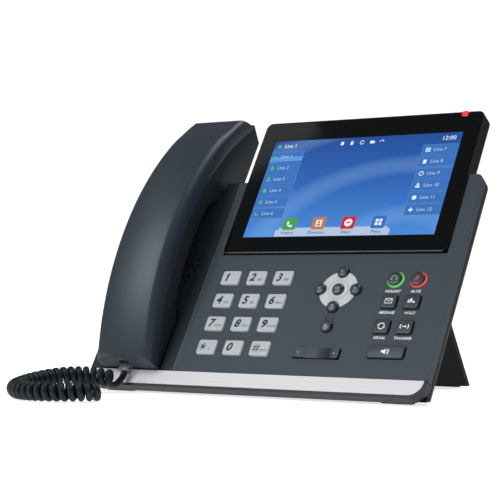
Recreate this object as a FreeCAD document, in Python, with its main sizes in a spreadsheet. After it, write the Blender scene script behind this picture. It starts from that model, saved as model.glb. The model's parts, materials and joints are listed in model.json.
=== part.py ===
import FreeCAD, Part
import math
import os
import re
import Sketcher

# Desk telephone with a tilted face, a fixed touch screen, a cradle with its handset and a curly cord.
# Units are millimetres. +X is the user's right, the face looks towards -Y and +Z is up.
# Pieces of the face are drawn flat: u to the right, v up the face, w out of the panel, and the
# whole face is then leant back. The face's lower edge is v = 0 and the panel's skin is w = 0.

SIZES = {
    # stance of the face
    "face_tilt": 57.7,
    "face_y": -87.95,
    "foot_proud": 0.8,
    # front shell
    "body_wide": 272,
    "panel_top": 174,
    "crease": 13,
    "panel_thick": 2.5,
    "panel_wall": 6.8,
    "wall": 2.4,
    "seam": 0.3,
    "corner_top": 5,
    "corner_low": 12,
    "edge_round": 0.8,
    "trim_deep": 8,
    "band_rim": 1.9,
    "band_thick": 0.8,
    "band_proud": 0.2,
    # rear housing
    "housing_deep": 26,
    "housing_inset": 1.6,
    "back_round": 16,
    "post_radius": 3,
    "screw_radius": 1.45,
    "screw_head": 3.2,
    "screw_long": 9,
    "screw_head_thick": 1.5,
    "screw_u": 114,
    "screw_low": 44,
    "screw_high": 100,
    # screen
    "screen_u": 35,
    "screen_v": 168.6,
    "glass_wide": 178,
    "glass_tall": 116,
    "glass_round": 4,
    "glass_thick": 1.1,
    "glass_proud": 2,
    "frame_rim": 0.9,
    "frame_deep": 7,
    "screen_deep": 13.5,
    "lcd_wide": 161,
    "lcd_tall": 93,
    "lcd_thick": 3.6,
    "lamp_u": 14,
    "lamp_wide": 4.6,
    "lamp_tall": 4,
    # keys
    "key_gap": 0.35,
    "key_proud": 1.7,
    "key_slack": 0.3,
    "key_travel": 1.2,
    "key_round": 1.6,
    "key_edge": 0.7,
    "flange_reach": 1,
    "flange_thick": 1,
    "stem_radius": 2,
    "stem_long": 1.4,
    "dial_u": -40.1,
    "dial_v": 89.2,
    "dial_pitch_u": 22,
    "dial_pitch_v": 19,
    "dial_wide": 15.3,
    "dial_tall": 11.4,
    "nav_u": 50.7,
    "nav_v": 80.3,
    "nav_reach": 13.9,
    "nav_key": 4.2,
    "nav_plate_radius": 14.3,
    "nav_plate_sink": 0.5,
    "nav_plate_proud": 0.4,
    "nav_groove": 8,
    "cancel_drop": 29.6,
    "dome_proud": 2.6,
    "function_u": 92.7,
    "function_pitch": 17.1,
    "lit_v": 88.3,
    "lit_radius": 6.3,
    "lit_key_radius": 5.1,
    "lit_key_shift": 0.8,
    "light_inner": 5.4,
    "square_wide": 11.5,
    "square_tall": 10.5,
    "message_v": 70.9,
    "redial_v": 51.5,
    "speaker_key_v": 32.4,
    "speaker_key_wide": 27,
    "speaker_key_tall": 9.5,
    "rocker_u": 49.2,
    "rocker_v": 30.1,
    "rocker_wide": 35,
    "rocker_tall": 7.6,
    "rocker_proud": 1.5,
    "rocker_thick": 5,
    "rocker_hollow": 0.8,
    "rocker_hollow_radius": 90,
    "rocker_gap": 0.6,
    "pivot_radius": 1,
    "pivot_gap": 0.05,
    "pivot_drop": 4.4,
    "lug_thick": 2,
    # boards
    "mat_gap": 0.2,
    "mat_thick": 1.6,
    "board_thick": 1.6,
    "board_left": -58,
    "board_right": 128,
    "board_low": 20,
    "board_high": 104,
    # cradle and its loudspeaker
    "cradle_wide": 72.5,
    "pocket_gap": 2,
    "rest_gap": 0.4,
    "grille_u": 41,
    "grille_v": 101,
    "grille_pitch": 5.4,
    "grille_hole": 1.2,
    "driver_radius": 25,
    "driver_rim": 3,
    "driver_deep": 9,
    "magnet_radius": 14,
    "magnet_deep": 7,
    "hook_wide": 10,
    "hook_low": 156,
    "hook_high": 162,
    "hook_gap": 0.3,
    "hook_long": 17,
    # handset
    "handset_u": 36,
    "handset_wide": 48,
    "arch_v": 115,
    "arch_crown": 36.5,
    "arch_radius": 231,
    "shell_deep": 12,
    "shell_wall": 2.5,
    "grip_deep": 24,
    "handset_low": 13.5,
    "handset_high": 230,
    "top_lean": 4.5,
    "mouth_floor": -7,
    "mouth_start": 24,
    "mouth_end": 50,
    "mouth_rise": 64,
    "shoulder_v": 148,
    "ear_floor": -22,
    "ear_start": 190,
    "ear_end": 228,
    "ear_top": 236,
    "ear_top_drop": -9,
    "handset_round": 5,
    "inner_inset": 0.5,
    "inner_round": 3,
    "receiver_radius": 15,
    "receiver_thick": 6,
    "receiver_v": 207,
    "microphone_radius": 5,
    "microphone_thick": 4,
    "microphone_v": 37,
    "weight_long": 60,
    "weight_wide": 22,
    "weight_thick": 8,
    "socket_wide": 11,
    "socket_tall": 9,
    "socket_long": 13,
    "plug_w": 5,
    "plug_wide": 7.6,
    "plug_tall": 6,
    "plug_long": 12,
    "plug_out": 6,
    "plug_gap": 0.2,
    # connector bay at the back
    "bay_low": 16,
    "bay_high": 46,
    "bay_y": -5,
    "bay_left": -118,
    "bay_right": 62,
    "jack_z": 30,
    "jack_deep": 16,
    "jack_proud": 0.3,
    "network_u": 4,
    "network_pitch": 20,
    "network_wide": 16,
    "network_tall": 14,
    "network_mouth_wide": 11.8,
    "network_mouth_tall": 8.4,
    "line_u": -98,
    "line_pitch": 22,
    "line_wide": 12,
    "line_tall": 10,
    "power_u": 46,
    "power_wide": 12,
    "power_tall": 12,
    "power_bore": 3.2,
    "power_pin": 1,
    # stand and feet
    "stand_wide": 170,
    "stand_top": 150,
    "stand_clip": 36,
    "stand_clip_thick": 3,
    "stand_thick": 6.2,
    "stand_shoulder": 9.9,
    "stand_foot_y": 91.45,
    "stand_window_wide": 96,
    "stand_window_high": 66,
    "foot_sunk": 0.6,
    "foot_u": 112,
    "foot_long": 22,
    "foot_deep": 5,
    # curly cord
    "cord_radius": 2.35,
    "curl_radius": 4.3,
    "loop_x": -99,
    "loop_y": -147,
    "loop_radius": 47,
    "loop_start": 92,
    "loop_sweep": 238,
    "curl_count": 31,
    "coil_lift": 6,
    "lift_at": 0.15,
    "lift_spread": 0.21,
    "tail_drop": 4.8,
}

doc = FreeCAD.newDocument("desk_phone")
sheet = doc.addObject("Spreadsheet::Sheet", "Sizes")
for row, (name, size) in enumerate(SIZES.items(), start=1):
    sheet.set(f"A{row}", name)
    sheet.set(f"B{row}", str(size))
    sheet.setAlias(f"B{row}", name)
doc.recompute()

Vector = FreeCAD.Vector
SUB_PARTS = []
FACE_Z = "(foot_proud + trim_deep * cos(face_tilt * 1 deg))"


def formula(text):
    """The text with every size's name pointed at the sheet."""
    def point(word):
        return f"Sizes.{word.group()}" if word.group() in SIZES else word.group()
    return re.sub(r"[a-z][a-z_]*", point, text)


def number(text):
    """What a formula comes to now."""
    answer = sheet.evalExpression(formula(text))
    return float(getattr(answer, "Value", answer))


def tie(item, place, text):
    """Binds a property of an object to a formula in the sheet's sizes."""
    item.setExpression(place, formula(text))


# Bodies, sketches and features

def lean(item):
    """Puts a face piece, drawn flat, at the face's place and tilt."""
    tilt = FreeCAD.Rotation(Vector(1, 0, 0), number("face_tilt"))
    item.Placement = FreeCAD.Placement(Vector(0, 0, 0), tilt)
    tie(item, "Placement.Rotation.Angle", "face_tilt * 1 deg")
    tie(item, "Placement.Base.y", "face_y")
    tie(item, "Placement.Base.z", FACE_Z)


def new_body(label, leaning=True, whole=True):
    """An empty body that becomes one sub-part, or only a piece of one."""
    owner = doc.addObject("PartDesign::Body", label)
    owner.Label = label
    if leaning:
        lean(owner)
    if whole:
        SUB_PARTS.append(owner)
    return owner


def new_group(label, pieces):
    """One sub-part made of several separate pieces."""
    group = doc.addObject("Part::Compound", label)
    group.Label = label
    group.Links = pieces
    SUB_PARTS.append(group)
    return group


def new_sketch(owner, offset="0", plane="XY_Plane"):
    """A sketch on one of its body's own planes, moved along that plane's normal."""
    drawing = owner.newObject("Sketcher::SketchObject", f"{owner.Name}_sketch")
    base = [feature for feature in owner.Origin.OriginFeatures if feature.Role == plane][0]
    drawing.AttachmentSupport = [(base, "")]
    drawing.MapMode = "FlatFace"
    tie(drawing, "AttachmentOffset.Base.z", offset)
    return drawing


def hold(drawing, kind, geometry, point, text, name):
    """A distance from the sketch's origin to a point, bound to a formula."""
    index = drawing.addConstraint(Sketcher.Constraint(kind, -1, 1, geometry, point, number(text)))
    drawing.renameConstraint(index, name)
    tie(drawing, f"Constraints.{name}", text)


def hold_radius(drawing, geometry, text, name):
    """The radius of an arc or circle, bound to a formula."""
    index = drawing.addConstraint(Sketcher.Constraint("Radius", geometry, number(text)))
    drawing.renameConstraint(index, name)
    tie(drawing, f"Constraints.{name}", text)


def arc_through(start, through, finish):
    """A counter-clockwise arc through three places, and which of its ends is the start."""
    circle = Part.Circle(start, through, finish)
    forward = (through - start).cross(finish - through).z > 0
    ends = [start, finish] if forward else [finish, start]
    angles = [math.atan2(end.y - circle.Center.y, end.x - circle.Center.x) for end in ends]
    if angles[1] < angles[0]:
        angles[1] += 2 * math.pi
    flat = Part.Circle(circle.Center, Vector(0, 0, 1), circle.Radius)
    return Part.ArcOfCircle(flat, *angles), 1 if forward else 2


def draw_outline(drawing, corners, arcs=()):
    """A closed outline through corners. Side i is an arc where arcs names its radius and a point on it."""
    bulges = dict(arcs)
    places = [Vector(number(across), number(up), 0) for across, up in corners]
    first = drawing.GeometryCount
    count = len(places)
    ends = []
    for side, start in enumerate(places):
        finish = places[(side + 1) % count]
        curve, end = Part.LineSegment(start, finish), 1
        if side in bulges:
            through = bulges[side][1]
            curve, end = arc_through(start, Vector(number(through[0]), number(through[1]), 0), finish)
        drawing.addGeometry(curve, False)
        ends.append(end)
    for side in range(count):
        after = (side + 1) % count
        join = Sketcher.Constraint("Coincident", first + side, 3 - ends[side], first + after, ends[after])
        drawing.addConstraint(join)
    for side, (across, up) in enumerate(corners):
        hold(drawing, "DistanceX", first + side, ends[side], across, f"across{first + side}")
        hold(drawing, "DistanceY", first + side, ends[side], up, f"up{first + side}")
    for side, (radius, _) in bulges.items():
        hold_radius(drawing, first + side, radius, f"radius{first + side}")


def draw_box(drawing, left, right, low, high):
    """A plain rectangle."""
    draw_outline(drawing, [(left, low), (right, low), (right, high), (left, high)])


def draw_soft_box(drawing, left, right, low, high, radii):
    """A rectangle with corners rounded in the order low left, low right, high right, high left, or sharp."""
    corners = []
    arcs = []
    spots = [(left, low, "+", "+"), (right, low, "-", "+"), (right, high, "-", "-"), (left, high, "+", "-")]
    for index, ((across, up, inward, upward), radius) in enumerate(zip(spots, radii)):
        if radius is None:
            corners.append((across, up))
            continue
        bow = f"({radius}) * (1 - sqrt(0.5))"
        arcs.append((len(corners), (radius, (f"{across} {inward} {bow}", f"{up} {upward} {bow}"))))
        along = (f"{across} {inward} ({radius})", up)
        beside = (across, f"{up} {upward} ({radius})")
        corners += [along, beside] if index % 2 else [beside, along]
    draw_outline(drawing, corners, arcs)


def draw_circle(drawing, across, up, radius):
    """A circle."""
    centre = Vector(number(across), number(up), 0)
    index = drawing.addGeometry(Part.Circle(centre, Vector(0, 0, 1), number(radius)), False)
    hold(drawing, "DistanceX", index, 3, across, f"across{index}")
    hold(drawing, "DistanceY", index, 3, up, f"up{index}")
    hold_radius(drawing, index, radius, f"radius{index}")


def pad(owner, drawing, length):
    """Adds a sketch's outline, along the sketch's normal."""
    feature = owner.newObject("PartDesign::Pad", f"{owner.Name}_pad")
    feature.Profile = drawing
    tie(feature, "Length", length)
    doc.recompute()
    return feature


def pocket(owner, drawing, length, along=False):
    """Cuts a sketch's outline, against the sketch's normal unless along is set."""
    before = owner.Shape.Volume
    feature = owner.newObject("PartDesign::Pocket", f"{owner.Name}_pocket")
    feature.Profile = drawing
    feature.Reversed = along
    tie(feature, "Length", length)
    doc.recompute()
    if owner.Shape.Volume > before - 1e-6:
        raise RuntimeError(f"a pocket of {owner.Name} cuts nothing")
    return feature


def rounding(owner, wanted, radius):
    """Fillets the edges of a body that a test on the edge accepts."""
    base = owner.Tip
    names = [f"Edge{index}" for index, edge in enumerate(base.Shape.Edges, start=1) if wanted(edge)]
    feature = owner.newObject("PartDesign::Fillet", f"{owner.Name}_round")
    feature.Base = (base, names)
    tie(feature, "Radius", radius)
    doc.recompute()


def on_level(text, axis="Z"):
    """A test for edges that lie wholly at one level along an axis."""
    level = number(text)

    def wanted(edge):
        box = edge.BoundBox
        ends = (getattr(box, f"{axis}Min"), getattr(box, f"{axis}Max"))
        return all(abs(end - level) < 1e-5 for end in ends)
    return wanted


def box_pad(owner, left, right, low, high, bottom, height, radius=None):
    """A rectangular plate. A radius, or a list of four, rounds its corners."""
    drawing = new_sketch(owner, bottom)
    radii = radius if isinstance(radius, list) else [radius] * 4
    draw_soft_box(drawing, left, right, low, high, radii)
    pad(owner, drawing, height)


def box_pocket(owner, left, right, low, high, top, depth, along=False, radius=None):
    """A rectangular cut down from a level, or up from it."""
    drawing = new_sketch(owner, top)
    radii = radius if isinstance(radius, list) else [radius] * 4
    draw_soft_box(drawing, left, right, low, high, radii)
    pocket(owner, drawing, depth, along)


def disc_pad(owner, across, up, radius, bottom, height):
    """A round boss."""
    drawing = new_sketch(owner, bottom)
    draw_circle(drawing, across, up, radius)
    pad(owner, drawing, height)


def disc_pocket(owner, across, up, radius, top, depth):
    """A round hole."""
    drawing = new_sketch(owner, top)
    draw_circle(drawing, across, up, radius)
    pocket(owner, drawing, depth)


# Places that several pieces share

HALF = "body_wide / 2"
CRADLE_RIGHT = "(cradle_wide - body_wide / 2)"
FRAME_LEFT = "(screen_u - glass_wide / 2 - frame_rim)"
FRAME_RIGHT = "(screen_u + glass_wide / 2 + frame_rim)"
FRAME_LOW = "(screen_v - glass_tall / 2 - frame_rim)"
FRAME_HIGH = "(screen_v + glass_tall / 2 + frame_rim)"
FRAME_BACK = "(glass_proud - frame_deep)"
SCREEN_BACK = "(glass_proud - screen_deep)"
GLASS_BACK = "(glass_proud - glass_thick)"
BACK_INSIDE = "(wall - housing_deep)"
FLANGE_TOP = "(-panel_thick - key_slack)"
FLANGE_LOW = "(-panel_thick - key_slack - flange_thick)"
MAT_TOP = "(-panel_thick - key_slack - flange_thick - stem_long - key_travel - mat_gap)"
MAT_LOW = f"({MAT_TOP} - mat_thick)"
BOARD_LOW = f"({MAT_LOW} - board_thick)"
# the handset and the grille are placed from the body's left side, the lamp from the glass's right end
HANDSET_U = "(handset_u - body_wide / 2)"
GRILLE_U = "(grille_u - body_wide / 2)"
LAMP_U = "(screen_u + glass_wide / 2 - lamp_u)"
HANDSET_LEFT = f"({HANDSET_U} - handset_wide / 2)"
HANDSET_RIGHT = f"({HANDSET_U} + handset_wide / 2)"


def arch(radius_text, v_text):
    """The w of an arc of the handset's arch above a place v."""
    return (f"(arch_crown - arch_radius + sqrt(pow({radius_text}; 2) - pow({v_text} - arch_v; 2)))")


SHELL_ARC = "(arch_radius - shell_deep)"
GRIP_ARC = "(arch_radius - grip_deep)"
SHOULDER_W = arch(GRIP_ARC, "shoulder_v")
SHOULDER_SLOPE = f"(({SHOULDER_W} - ear_floor) / (ear_start - shoulder_v))"


def shoulder(v_text):
    """The w of the handset's shoulder, which leads down to the ear cup."""
    return f"({SHOULDER_W} - ({v_text} - shoulder_v) * {SHOULDER_SLOPE})"


# Keys: name, place, width and height

DIAL_NAMES = ["one", "two", "three", "four", "five", "six", "seven", "eight", "nine", "star", "zero",
              "hash"]
SQUARE_KEYS = [
    ("message_key", "function_u", "message_v", "square_wide", "square_tall"),
    ("hold_key", "function_u + function_pitch", "message_v", "square_wide", "square_tall"),
    ("redial_key", "function_u", "redial_v", "square_wide", "square_tall"),
    ("transfer_key", "function_u + function_pitch", "redial_v", "square_wide", "square_tall"),
    ("speaker_key", "function_u + function_pitch / 2", "speaker_key_v", "speaker_key_wide",
     "speaker_key_tall"),
]
for count, word in enumerate(DIAL_NAMES):
    across = f"dial_u + {count % 3} * dial_pitch_u"
    up = f"dial_v - {count // 3} * dial_pitch_v"
    SQUARE_KEYS.append((f"key_{word}", across, up, "dial_wide", "dial_tall"))
DOME_KEYS = [
    ("nav_up", "nav_u", "nav_v + nav_reach"),
    ("nav_down", "nav_u", "nav_v - nav_reach"),
    ("nav_left", "nav_u - nav_reach", "nav_v"),
    ("nav_right", "nav_u + nav_reach", "nav_v"),
    ("ok_key", "nav_u", "nav_v"),
    ("cancel_key", "nav_u", "nav_v - cancel_drop"),
]
LIT_KEYS = [
    ("headset", "function_u", "lit_v"),
    ("mute", "function_u + function_pitch", "lit_v"),
]


def square_key(label, across, up, wide, tall):
    """A raised key with a flange under the panel and a stem over the mat."""
    key = new_body(label)
    reach = "flange_reach"
    box_pad(key, f"{across} - {wide} / 2 - {reach}", f"{across} + {wide} / 2 + {reach}",
            f"{up} - {tall} / 2 - {reach}", f"{up} + {tall} / 2 + {reach}", FLANGE_LOW, "flange_thick")
    box_pad(key, f"{across} - {wide} / 2", f"{across} + {wide} / 2", f"{up} - {tall} / 2",
            f"{up} + {tall} / 2",
            FLANGE_TOP, "panel_thick + key_slack + key_proud", "key_round")
    rounding(key, on_level("key_proud"), "key_edge")
    disc_pad(key, across, up, "stem_radius", f"{FLANGE_LOW} - stem_long", "stem_long")


def dome_key(label, across, up, radius, proud, edge):
    """A round key with a domed top."""
    key = new_body(label)
    disc_pad(key, across, up, f"{radius} + flange_reach", FLANGE_LOW, "flange_thick")
    disc_pad(key, across, up, radius, FLANGE_TOP, f"panel_thick + key_slack + {proud}")
    rounding(key, on_level(proud), edge)
    disc_pad(key, across, up, "stem_radius", f"{FLANGE_LOW} - stem_long", "stem_long")


def front_panel():
    """The slate front shell, with its key holes and the cut-out that the screen stands in."""
    panel = new_body("front_panel")
    left = f"{CRADLE_RIGHT} + seam"
    box_pad(panel, left, HALF, "crease", "panel_top", "-panel_wall", "panel_wall",
            [None, None, "corner_top", None])
    box_pocket(panel, f"{left} + wall", f"{HALF} - wall", "crease + wall", "panel_top - wall",
               "-panel_wall", "panel_wall - panel_thick", True)
    box_pocket(panel, f"{FRAME_LEFT} - seam", f"{FRAME_RIGHT} + seam", f"{FRAME_LOW} - seam",
               "panel_top + wall",
               "glass_proud", "glass_proud + panel_wall + wall")
    for label, across, up, wide, tall in SQUARE_KEYS:
        half_wide = f"({wide} / 2 + key_gap)"
        half_tall = f"({tall} / 2 + key_gap)"
        box_pocket(panel, f"{across} - {half_wide}", f"{across} + {half_wide}", f"{up} - {half_tall}",
                   f"{up} + {half_tall}", "0", "panel_thick", False, "key_round + key_gap")
    disc_pocket(panel, "nav_u", "nav_v", "nav_plate_radius + key_gap / 3", "0", "nav_plate_sink")
    round_holes = new_sketch(panel)
    for label, across, up in DOME_KEYS:
        draw_circle(round_holes, across, up, "nav_key + key_gap")
    for label, across, up in LIT_KEYS:
        draw_circle(round_holes, across, up, "lit_radius + key_gap / 2")
    pocket(panel, round_holes, "panel_thick")
    box_pocket(panel, "rocker_u - rocker_wide / 2 - rocker_gap", "rocker_u + rocker_wide / 2 + rocker_gap",
               "rocker_v - rocker_tall / 2 - key_gap", "rocker_v + rocker_tall / 2 + key_gap", "0",
               "panel_thick")
    for side in "+-":
        inner = f"rocker_v {side} (rocker_tall / 2 + key_gap)"
        outer = f"rocker_v {side} (rocker_tall / 2 + key_gap + lug_thick)"
        low, high = (inner, outer) if side == "+" else (outer, inner)
        box_pad(panel, "rocker_u - 2 * lug_thick", "rocker_u + 2 * lug_thick", low, high,
                "-pivot_drop - pivot_radius - lug_thick / 2",
                "pivot_drop + pivot_radius + lug_thick / 2 - panel_thick")
    bore = new_sketch(panel, "-(rocker_v - rocker_tall / 2 - key_gap - lug_thick)", "XZ_Plane")
    draw_circle(bore, "rocker_u", "-pivot_drop", "pivot_radius + pivot_gap")
    pocket(panel, bore, "rocker_tall + 2 * key_gap + 2 * lug_thick")


def lower_trim():
    """The dark bar under the panel, recessed for the silver band."""
    trim = new_body("lower_trim")
    low_corners = ["corner_low", "corner_low", None, None]
    box_pad(trim, f"-{HALF}", HALF, "0", "crease - seam", "-trim_deep", "trim_deep", low_corners)
    box_pocket(trim, f"-{HALF} + corner_low", f"{HALF} - corner_low", "wall", "crease - seam - wall",
               "-trim_deep", "trim_deep - 2 * wall", True)
    radius = "corner_low - band_rim"
    box_pocket(trim, f"-{HALF} + band_rim", f"{HALF} - band_rim", "band_rim", "crease", "0", "band_thick",
               False,
               [radius, radius, None, None])


def silver_band():
    """The brushed strip laid into the lower trim."""
    band = new_body("silver_band")
    left = f"-{HALF} + band_rim + seam / 3"
    right = f"{HALF} - band_rim - seam / 3"
    radius = "corner_low - band_rim - seam / 3"
    box_pad(band, left, right, "band_rim + seam / 3", "crease - seam", "-band_thick",
            "band_thick + band_proud",
            [radius, radius, None, None])


def handset_cradle():
    """The tray at the left, with a pocket for the mouth end and a ramp for the ear end."""
    cradle = new_body("handset_cradle")
    box_pad(cradle, f"-{HALF}", CRADLE_RIGHT, "crease", "panel_top", "-panel_wall", "panel_wall",
            [None, None, None, "corner_top"])
    box_pocket(cradle, f"-{HALF} + wall", f"{CRADLE_RIGHT} - wall", "crease + wall", "panel_top - wall",
               "-panel_wall", "panel_wall - panel_thick", True)
    tub_left = f"{HANDSET_LEFT} - pocket_gap - wall"
    tub_right = f"{HANDSET_RIGHT} + pocket_gap + wall"
    floor = "mouth_floor - rest_gap"
    box_pad(cradle, tub_left, tub_right, "crease", "mouth_rise + wall", f"{floor} - wall",
            f"wall - ({floor})")
    ramp = new_sketch(cradle, tub_left, "YZ_Plane")
    ramp_low = shoulder("panel_top")
    draw_outline(ramp, [("shoulder_v - wall", "-panel_thick"), ("panel_top",
                                                                f"{ramp_low} - rest_gap - wall"),
                        ("panel_top", "0"), ("shoulder_v - wall", "0")])
    pad(cradle, ramp, f"handset_wide + 2 * pocket_gap + 2 * wall")
    mouth = new_sketch(cradle, f"{HANDSET_LEFT} - pocket_gap", "YZ_Plane")
    draw_outline(mouth, [("crease - wall", floor), ("mouth_end + pocket_gap", floor),
                         ("mouth_rise", "-rest_gap"), ("mouth_rise", "wall"), ("crease - wall", "wall")])
    pocket(cradle, mouth, "handset_wide + 2 * pocket_gap", True)
    ear = new_sketch(cradle, f"{HANDSET_LEFT} - pocket_gap", "YZ_Plane")
    start = f"(shoulder_v + ({SHOULDER_W} - rest_gap) / {SHOULDER_SLOPE})"
    beyond = "(panel_top + wall)"
    draw_outline(ear, [(start, "0"), (beyond, f"{shoulder(beyond)} - rest_gap"), (beyond, "wall"), (start,
                                                                                                    "wall")])
    pocket(cradle, ear, "handset_wide + 2 * pocket_gap", True)
    slot = new_sketch(cradle, "wall")
    draw_box(slot, f"{HANDSET_U} - hook_wide / 2 - key_gap", f"{HANDSET_U} + hook_wide / 2 + key_gap",
             "hook_low - key_gap", "hook_high + key_gap")
    pocket(cradle, slot, "housing_deep")
    dots = new_sketch(cradle, "wall")
    for ring in range(-4, 5):
        for step in range(-4, 5):
            if abs(ring + step) <= 4:
                draw_circle(dots, f"{GRILLE_U} + grille_pitch * {step + ring / 2}",
                            f"grille_v + grille_pitch * {ring} * sin(60 deg)", "grille_hole")
    pocket(cradle, dots, "panel_thick + 2 * wall")


def hook_switch():
    """The tongue that the resting handset holds down."""
    hook = new_body("hook_switch")
    drawing = new_sketch(hook, f"{HANDSET_U} - hook_wide / 2", "YZ_Plane")
    top_low = f"{shoulder('hook_low')} - hook_gap"
    top_high = f"{shoulder('hook_high')} - hook_gap"
    draw_outline(drawing, [("hook_low", f"{top_high} - hook_long"), ("hook_high",
                                                                     f"{top_high} - hook_long"),
                           ("hook_high", top_high), ("hook_low", top_low)])
    pad(hook, drawing, "hook_wide")


def handsfree_speaker():
    """The loudspeaker behind the cradle's grille: basket and magnet."""
    driver = new_body("handsfree_speaker")
    disc_pad(driver, GRILLE_U, "grille_v", "magnet_radius", "-panel_thick - driver_deep - magnet_deep",
             "magnet_deep")
    disc_pad(driver, GRILLE_U, "grille_v", "driver_radius", "-panel_thick - driver_deep", "driver_deep")
    rounding(driver, on_level("-panel_thick - driver_deep"), "driver_rim / 2")
    disc_pocket(driver, GRILLE_U, "grille_v", "driver_radius - driver_rim", "-panel_thick", "driver_rim")


def screen_pieces():
    """Frame, glass, display, lamp and back cover of the touch screen."""
    frame = new_body("screen_frame")
    corner = "glass_round + frame_rim"
    box_pad(frame, FRAME_LEFT, FRAME_RIGHT, FRAME_LOW, FRAME_HIGH, FRAME_BACK, "frame_deep - seam", corner)
    clear = "seam / 2"
    glass_box = (f"screen_u - glass_wide / 2 - {clear}", f"screen_u + glass_wide / 2 + {clear}",
                 f"screen_v - glass_tall / 2 - {clear}", f"screen_v + glass_tall / 2 + {clear}")
    box_pocket(frame, *glass_box, "glass_proud", "glass_thick", False, f"glass_round + {clear}")
    box_pocket(frame, "screen_u - lcd_wide / 2 - seam", "screen_u + lcd_wide / 2 + seam",
               "screen_v - lcd_tall / 2 - seam", "screen_v + lcd_tall / 2 + seam", "glass_proud",
               "frame_deep")
    lamp_low = f"{FRAME_HIGH} - lamp_tall"
    box_pocket(frame, f"{LAMP_U} - lamp_wide / 2 - seam", f"{LAMP_U} + lamp_wide / 2 + seam",
               f"{lamp_low} - seam",
               f"{FRAME_HIGH} + wall", "glass_proud", "glass_thick + lamp_tall")

    glass = new_body("touch_glass")
    box_pad(glass, "screen_u - glass_wide / 2", "screen_u + glass_wide / 2", "screen_v - glass_tall / 2",
            "screen_v + glass_tall / 2", GLASS_BACK, "glass_thick", "glass_round")
    box_pocket(glass, f"{LAMP_U} - lamp_wide / 2 - seam", f"{LAMP_U} + lamp_wide / 2 + seam",
               f"{lamp_low} - seam",
               f"{FRAME_HIGH} + wall", "glass_proud", "glass_thick")

    lamp = new_body("message_lamp")
    box_pad(lamp, f"{LAMP_U} - lamp_wide / 2", f"{LAMP_U} + lamp_wide / 2", lamp_low, f"{FRAME_HIGH} + seam",
            f"{GLASS_BACK} - lamp_tall + seam", "glass_thick + lamp_tall", "edge_round")

    display = new_body("lcd_panel")
    box_pad(display, "screen_u - lcd_wide / 2", "screen_u + lcd_wide / 2", "screen_v - lcd_tall / 2",
            "screen_v + lcd_tall / 2", f"{GLASS_BACK} - lcd_thick", "lcd_thick")

    cover = new_body("screen_back_cover")
    box_pad(cover, FRAME_LEFT, FRAME_RIGHT, FRAME_LOW, FRAME_HIGH, SCREEN_BACK, "screen_deep - frame_deep",
            corner)
    rounding(cover, on_level(SCREEN_BACK), "wall")
    box_pocket(cover, f"{FRAME_LEFT} + wall", f"{FRAME_RIGHT} - wall", f"{FRAME_LOW} + wall",
               f"{FRAME_HIGH} - wall",
               FRAME_BACK, "screen_deep - frame_deep - wall")


def nav_plate():
    """The pale scalloped disc round the OK key."""
    plate = new_body("nav_plate")
    disc_pad(plate, "nav_u", "nav_v", "nav_plate_radius", "-nav_plate_sink",
             "nav_plate_sink + nav_plate_proud")
    for label, across, up in DOME_KEYS[:5]:
        disc_pocket(plate, across, up, "nav_key + key_gap", "nav_plate_proud",
                    "nav_plate_sink + nav_plate_proud")
    groove = new_sketch(plate, "nav_plate_proud")
    draw_circle(groove, "nav_u", "nav_v", "nav_groove")
    draw_circle(groove, "nav_u", "nav_v", "nav_groove - key_gap")
    pocket(plate, groove, "nav_plate_proud")


def lit_key(word, across, up):
    """A round key whose hole also holds a crescent light."""
    light = new_body(f"{word}_light")
    disc_pad(light, across, up, "lit_radius", "-panel_thick", "panel_thick + nav_plate_proud")
    disc_pocket(light, f"{across} - lit_key_shift", f"{up} + lit_key_shift", "light_inner",
                "nav_plate_proud", "panel_thick + nav_plate_proud")
    dome_key(f"{word}_key", f"{across} - lit_key_shift", f"{up} + lit_key_shift", "lit_key_radius",
             "key_proud",
             "key_edge")


def volume_rocker():
    """The see-saw volume bar on its pivot pins."""
    rocker = new_body("volume_rocker")
    box_pad(rocker, "rocker_u - rocker_wide / 2", "rocker_u + rocker_wide / 2",
            "rocker_v - rocker_tall / 2",
            "rocker_v + rocker_tall / 2", "rocker_proud - rocker_thick", "rocker_thick", "key_round")
    hollow = new_sketch(rocker, "-(rocker_v - rocker_tall / 2 - wall)", "XZ_Plane")
    draw_circle(hollow, "rocker_u", "rocker_proud - rocker_hollow + rocker_hollow_radius",
                "rocker_hollow_radius")
    pocket(rocker, hollow, "rocker_tall + 2 * wall")
    hub = "rocker_u - lug_thick"
    box_pad(rocker, hub, "rocker_u + lug_thick", "rocker_v - rocker_tall / 2", "rocker_v + rocker_tall / 2",
            "-pivot_drop - pivot_radius", "pivot_drop + pivot_radius + rocker_proud - rocker_thick")
    pins = new_sketch(rocker, "-(rocker_v + rocker_tall / 2 + key_gap + lug_thick)", "XZ_Plane")
    draw_circle(pins, "rocker_u", "-pivot_drop", "pivot_radius")
    pad(rocker, pins, "rocker_tall + 2 * key_gap + 2 * lug_thick")


def boards():
    """The rubber mat under the keys and the board under the mat."""
    mat = new_body("keypad_mat")
    box_pad(mat, "board_left", "board_right", "board_low", "board_high", MAT_LOW, "mat_thick")
    board = new_body("main_board")
    box_pad(board, "board_left", "board_right", "board_low", "board_high", BOARD_LOW, "board_thick")


BOARD_POSTS = [(side, level) for side in ("board_left + post_radius", "board_right - post_radius")
               for level in ("board_low + post_radius", "board_high - post_radius")]
SCREEN_POSTS = [(side, f"{FRAME_LOW} + back_round + post_radius")
                for side in (f"{FRAME_LEFT} + back_round + post_radius",
                             f"{FRAME_RIGHT} - back_round - post_radius")]
SCREEN_POSTS += [(side, "panel_top - 3 * wall - post_radius") for side, level in SCREEN_POSTS]
SCREW_PLACES = [(f"{side}screw_u", level) for side in ("-", "") for level in ("screw_low", "screw_high")]


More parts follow.
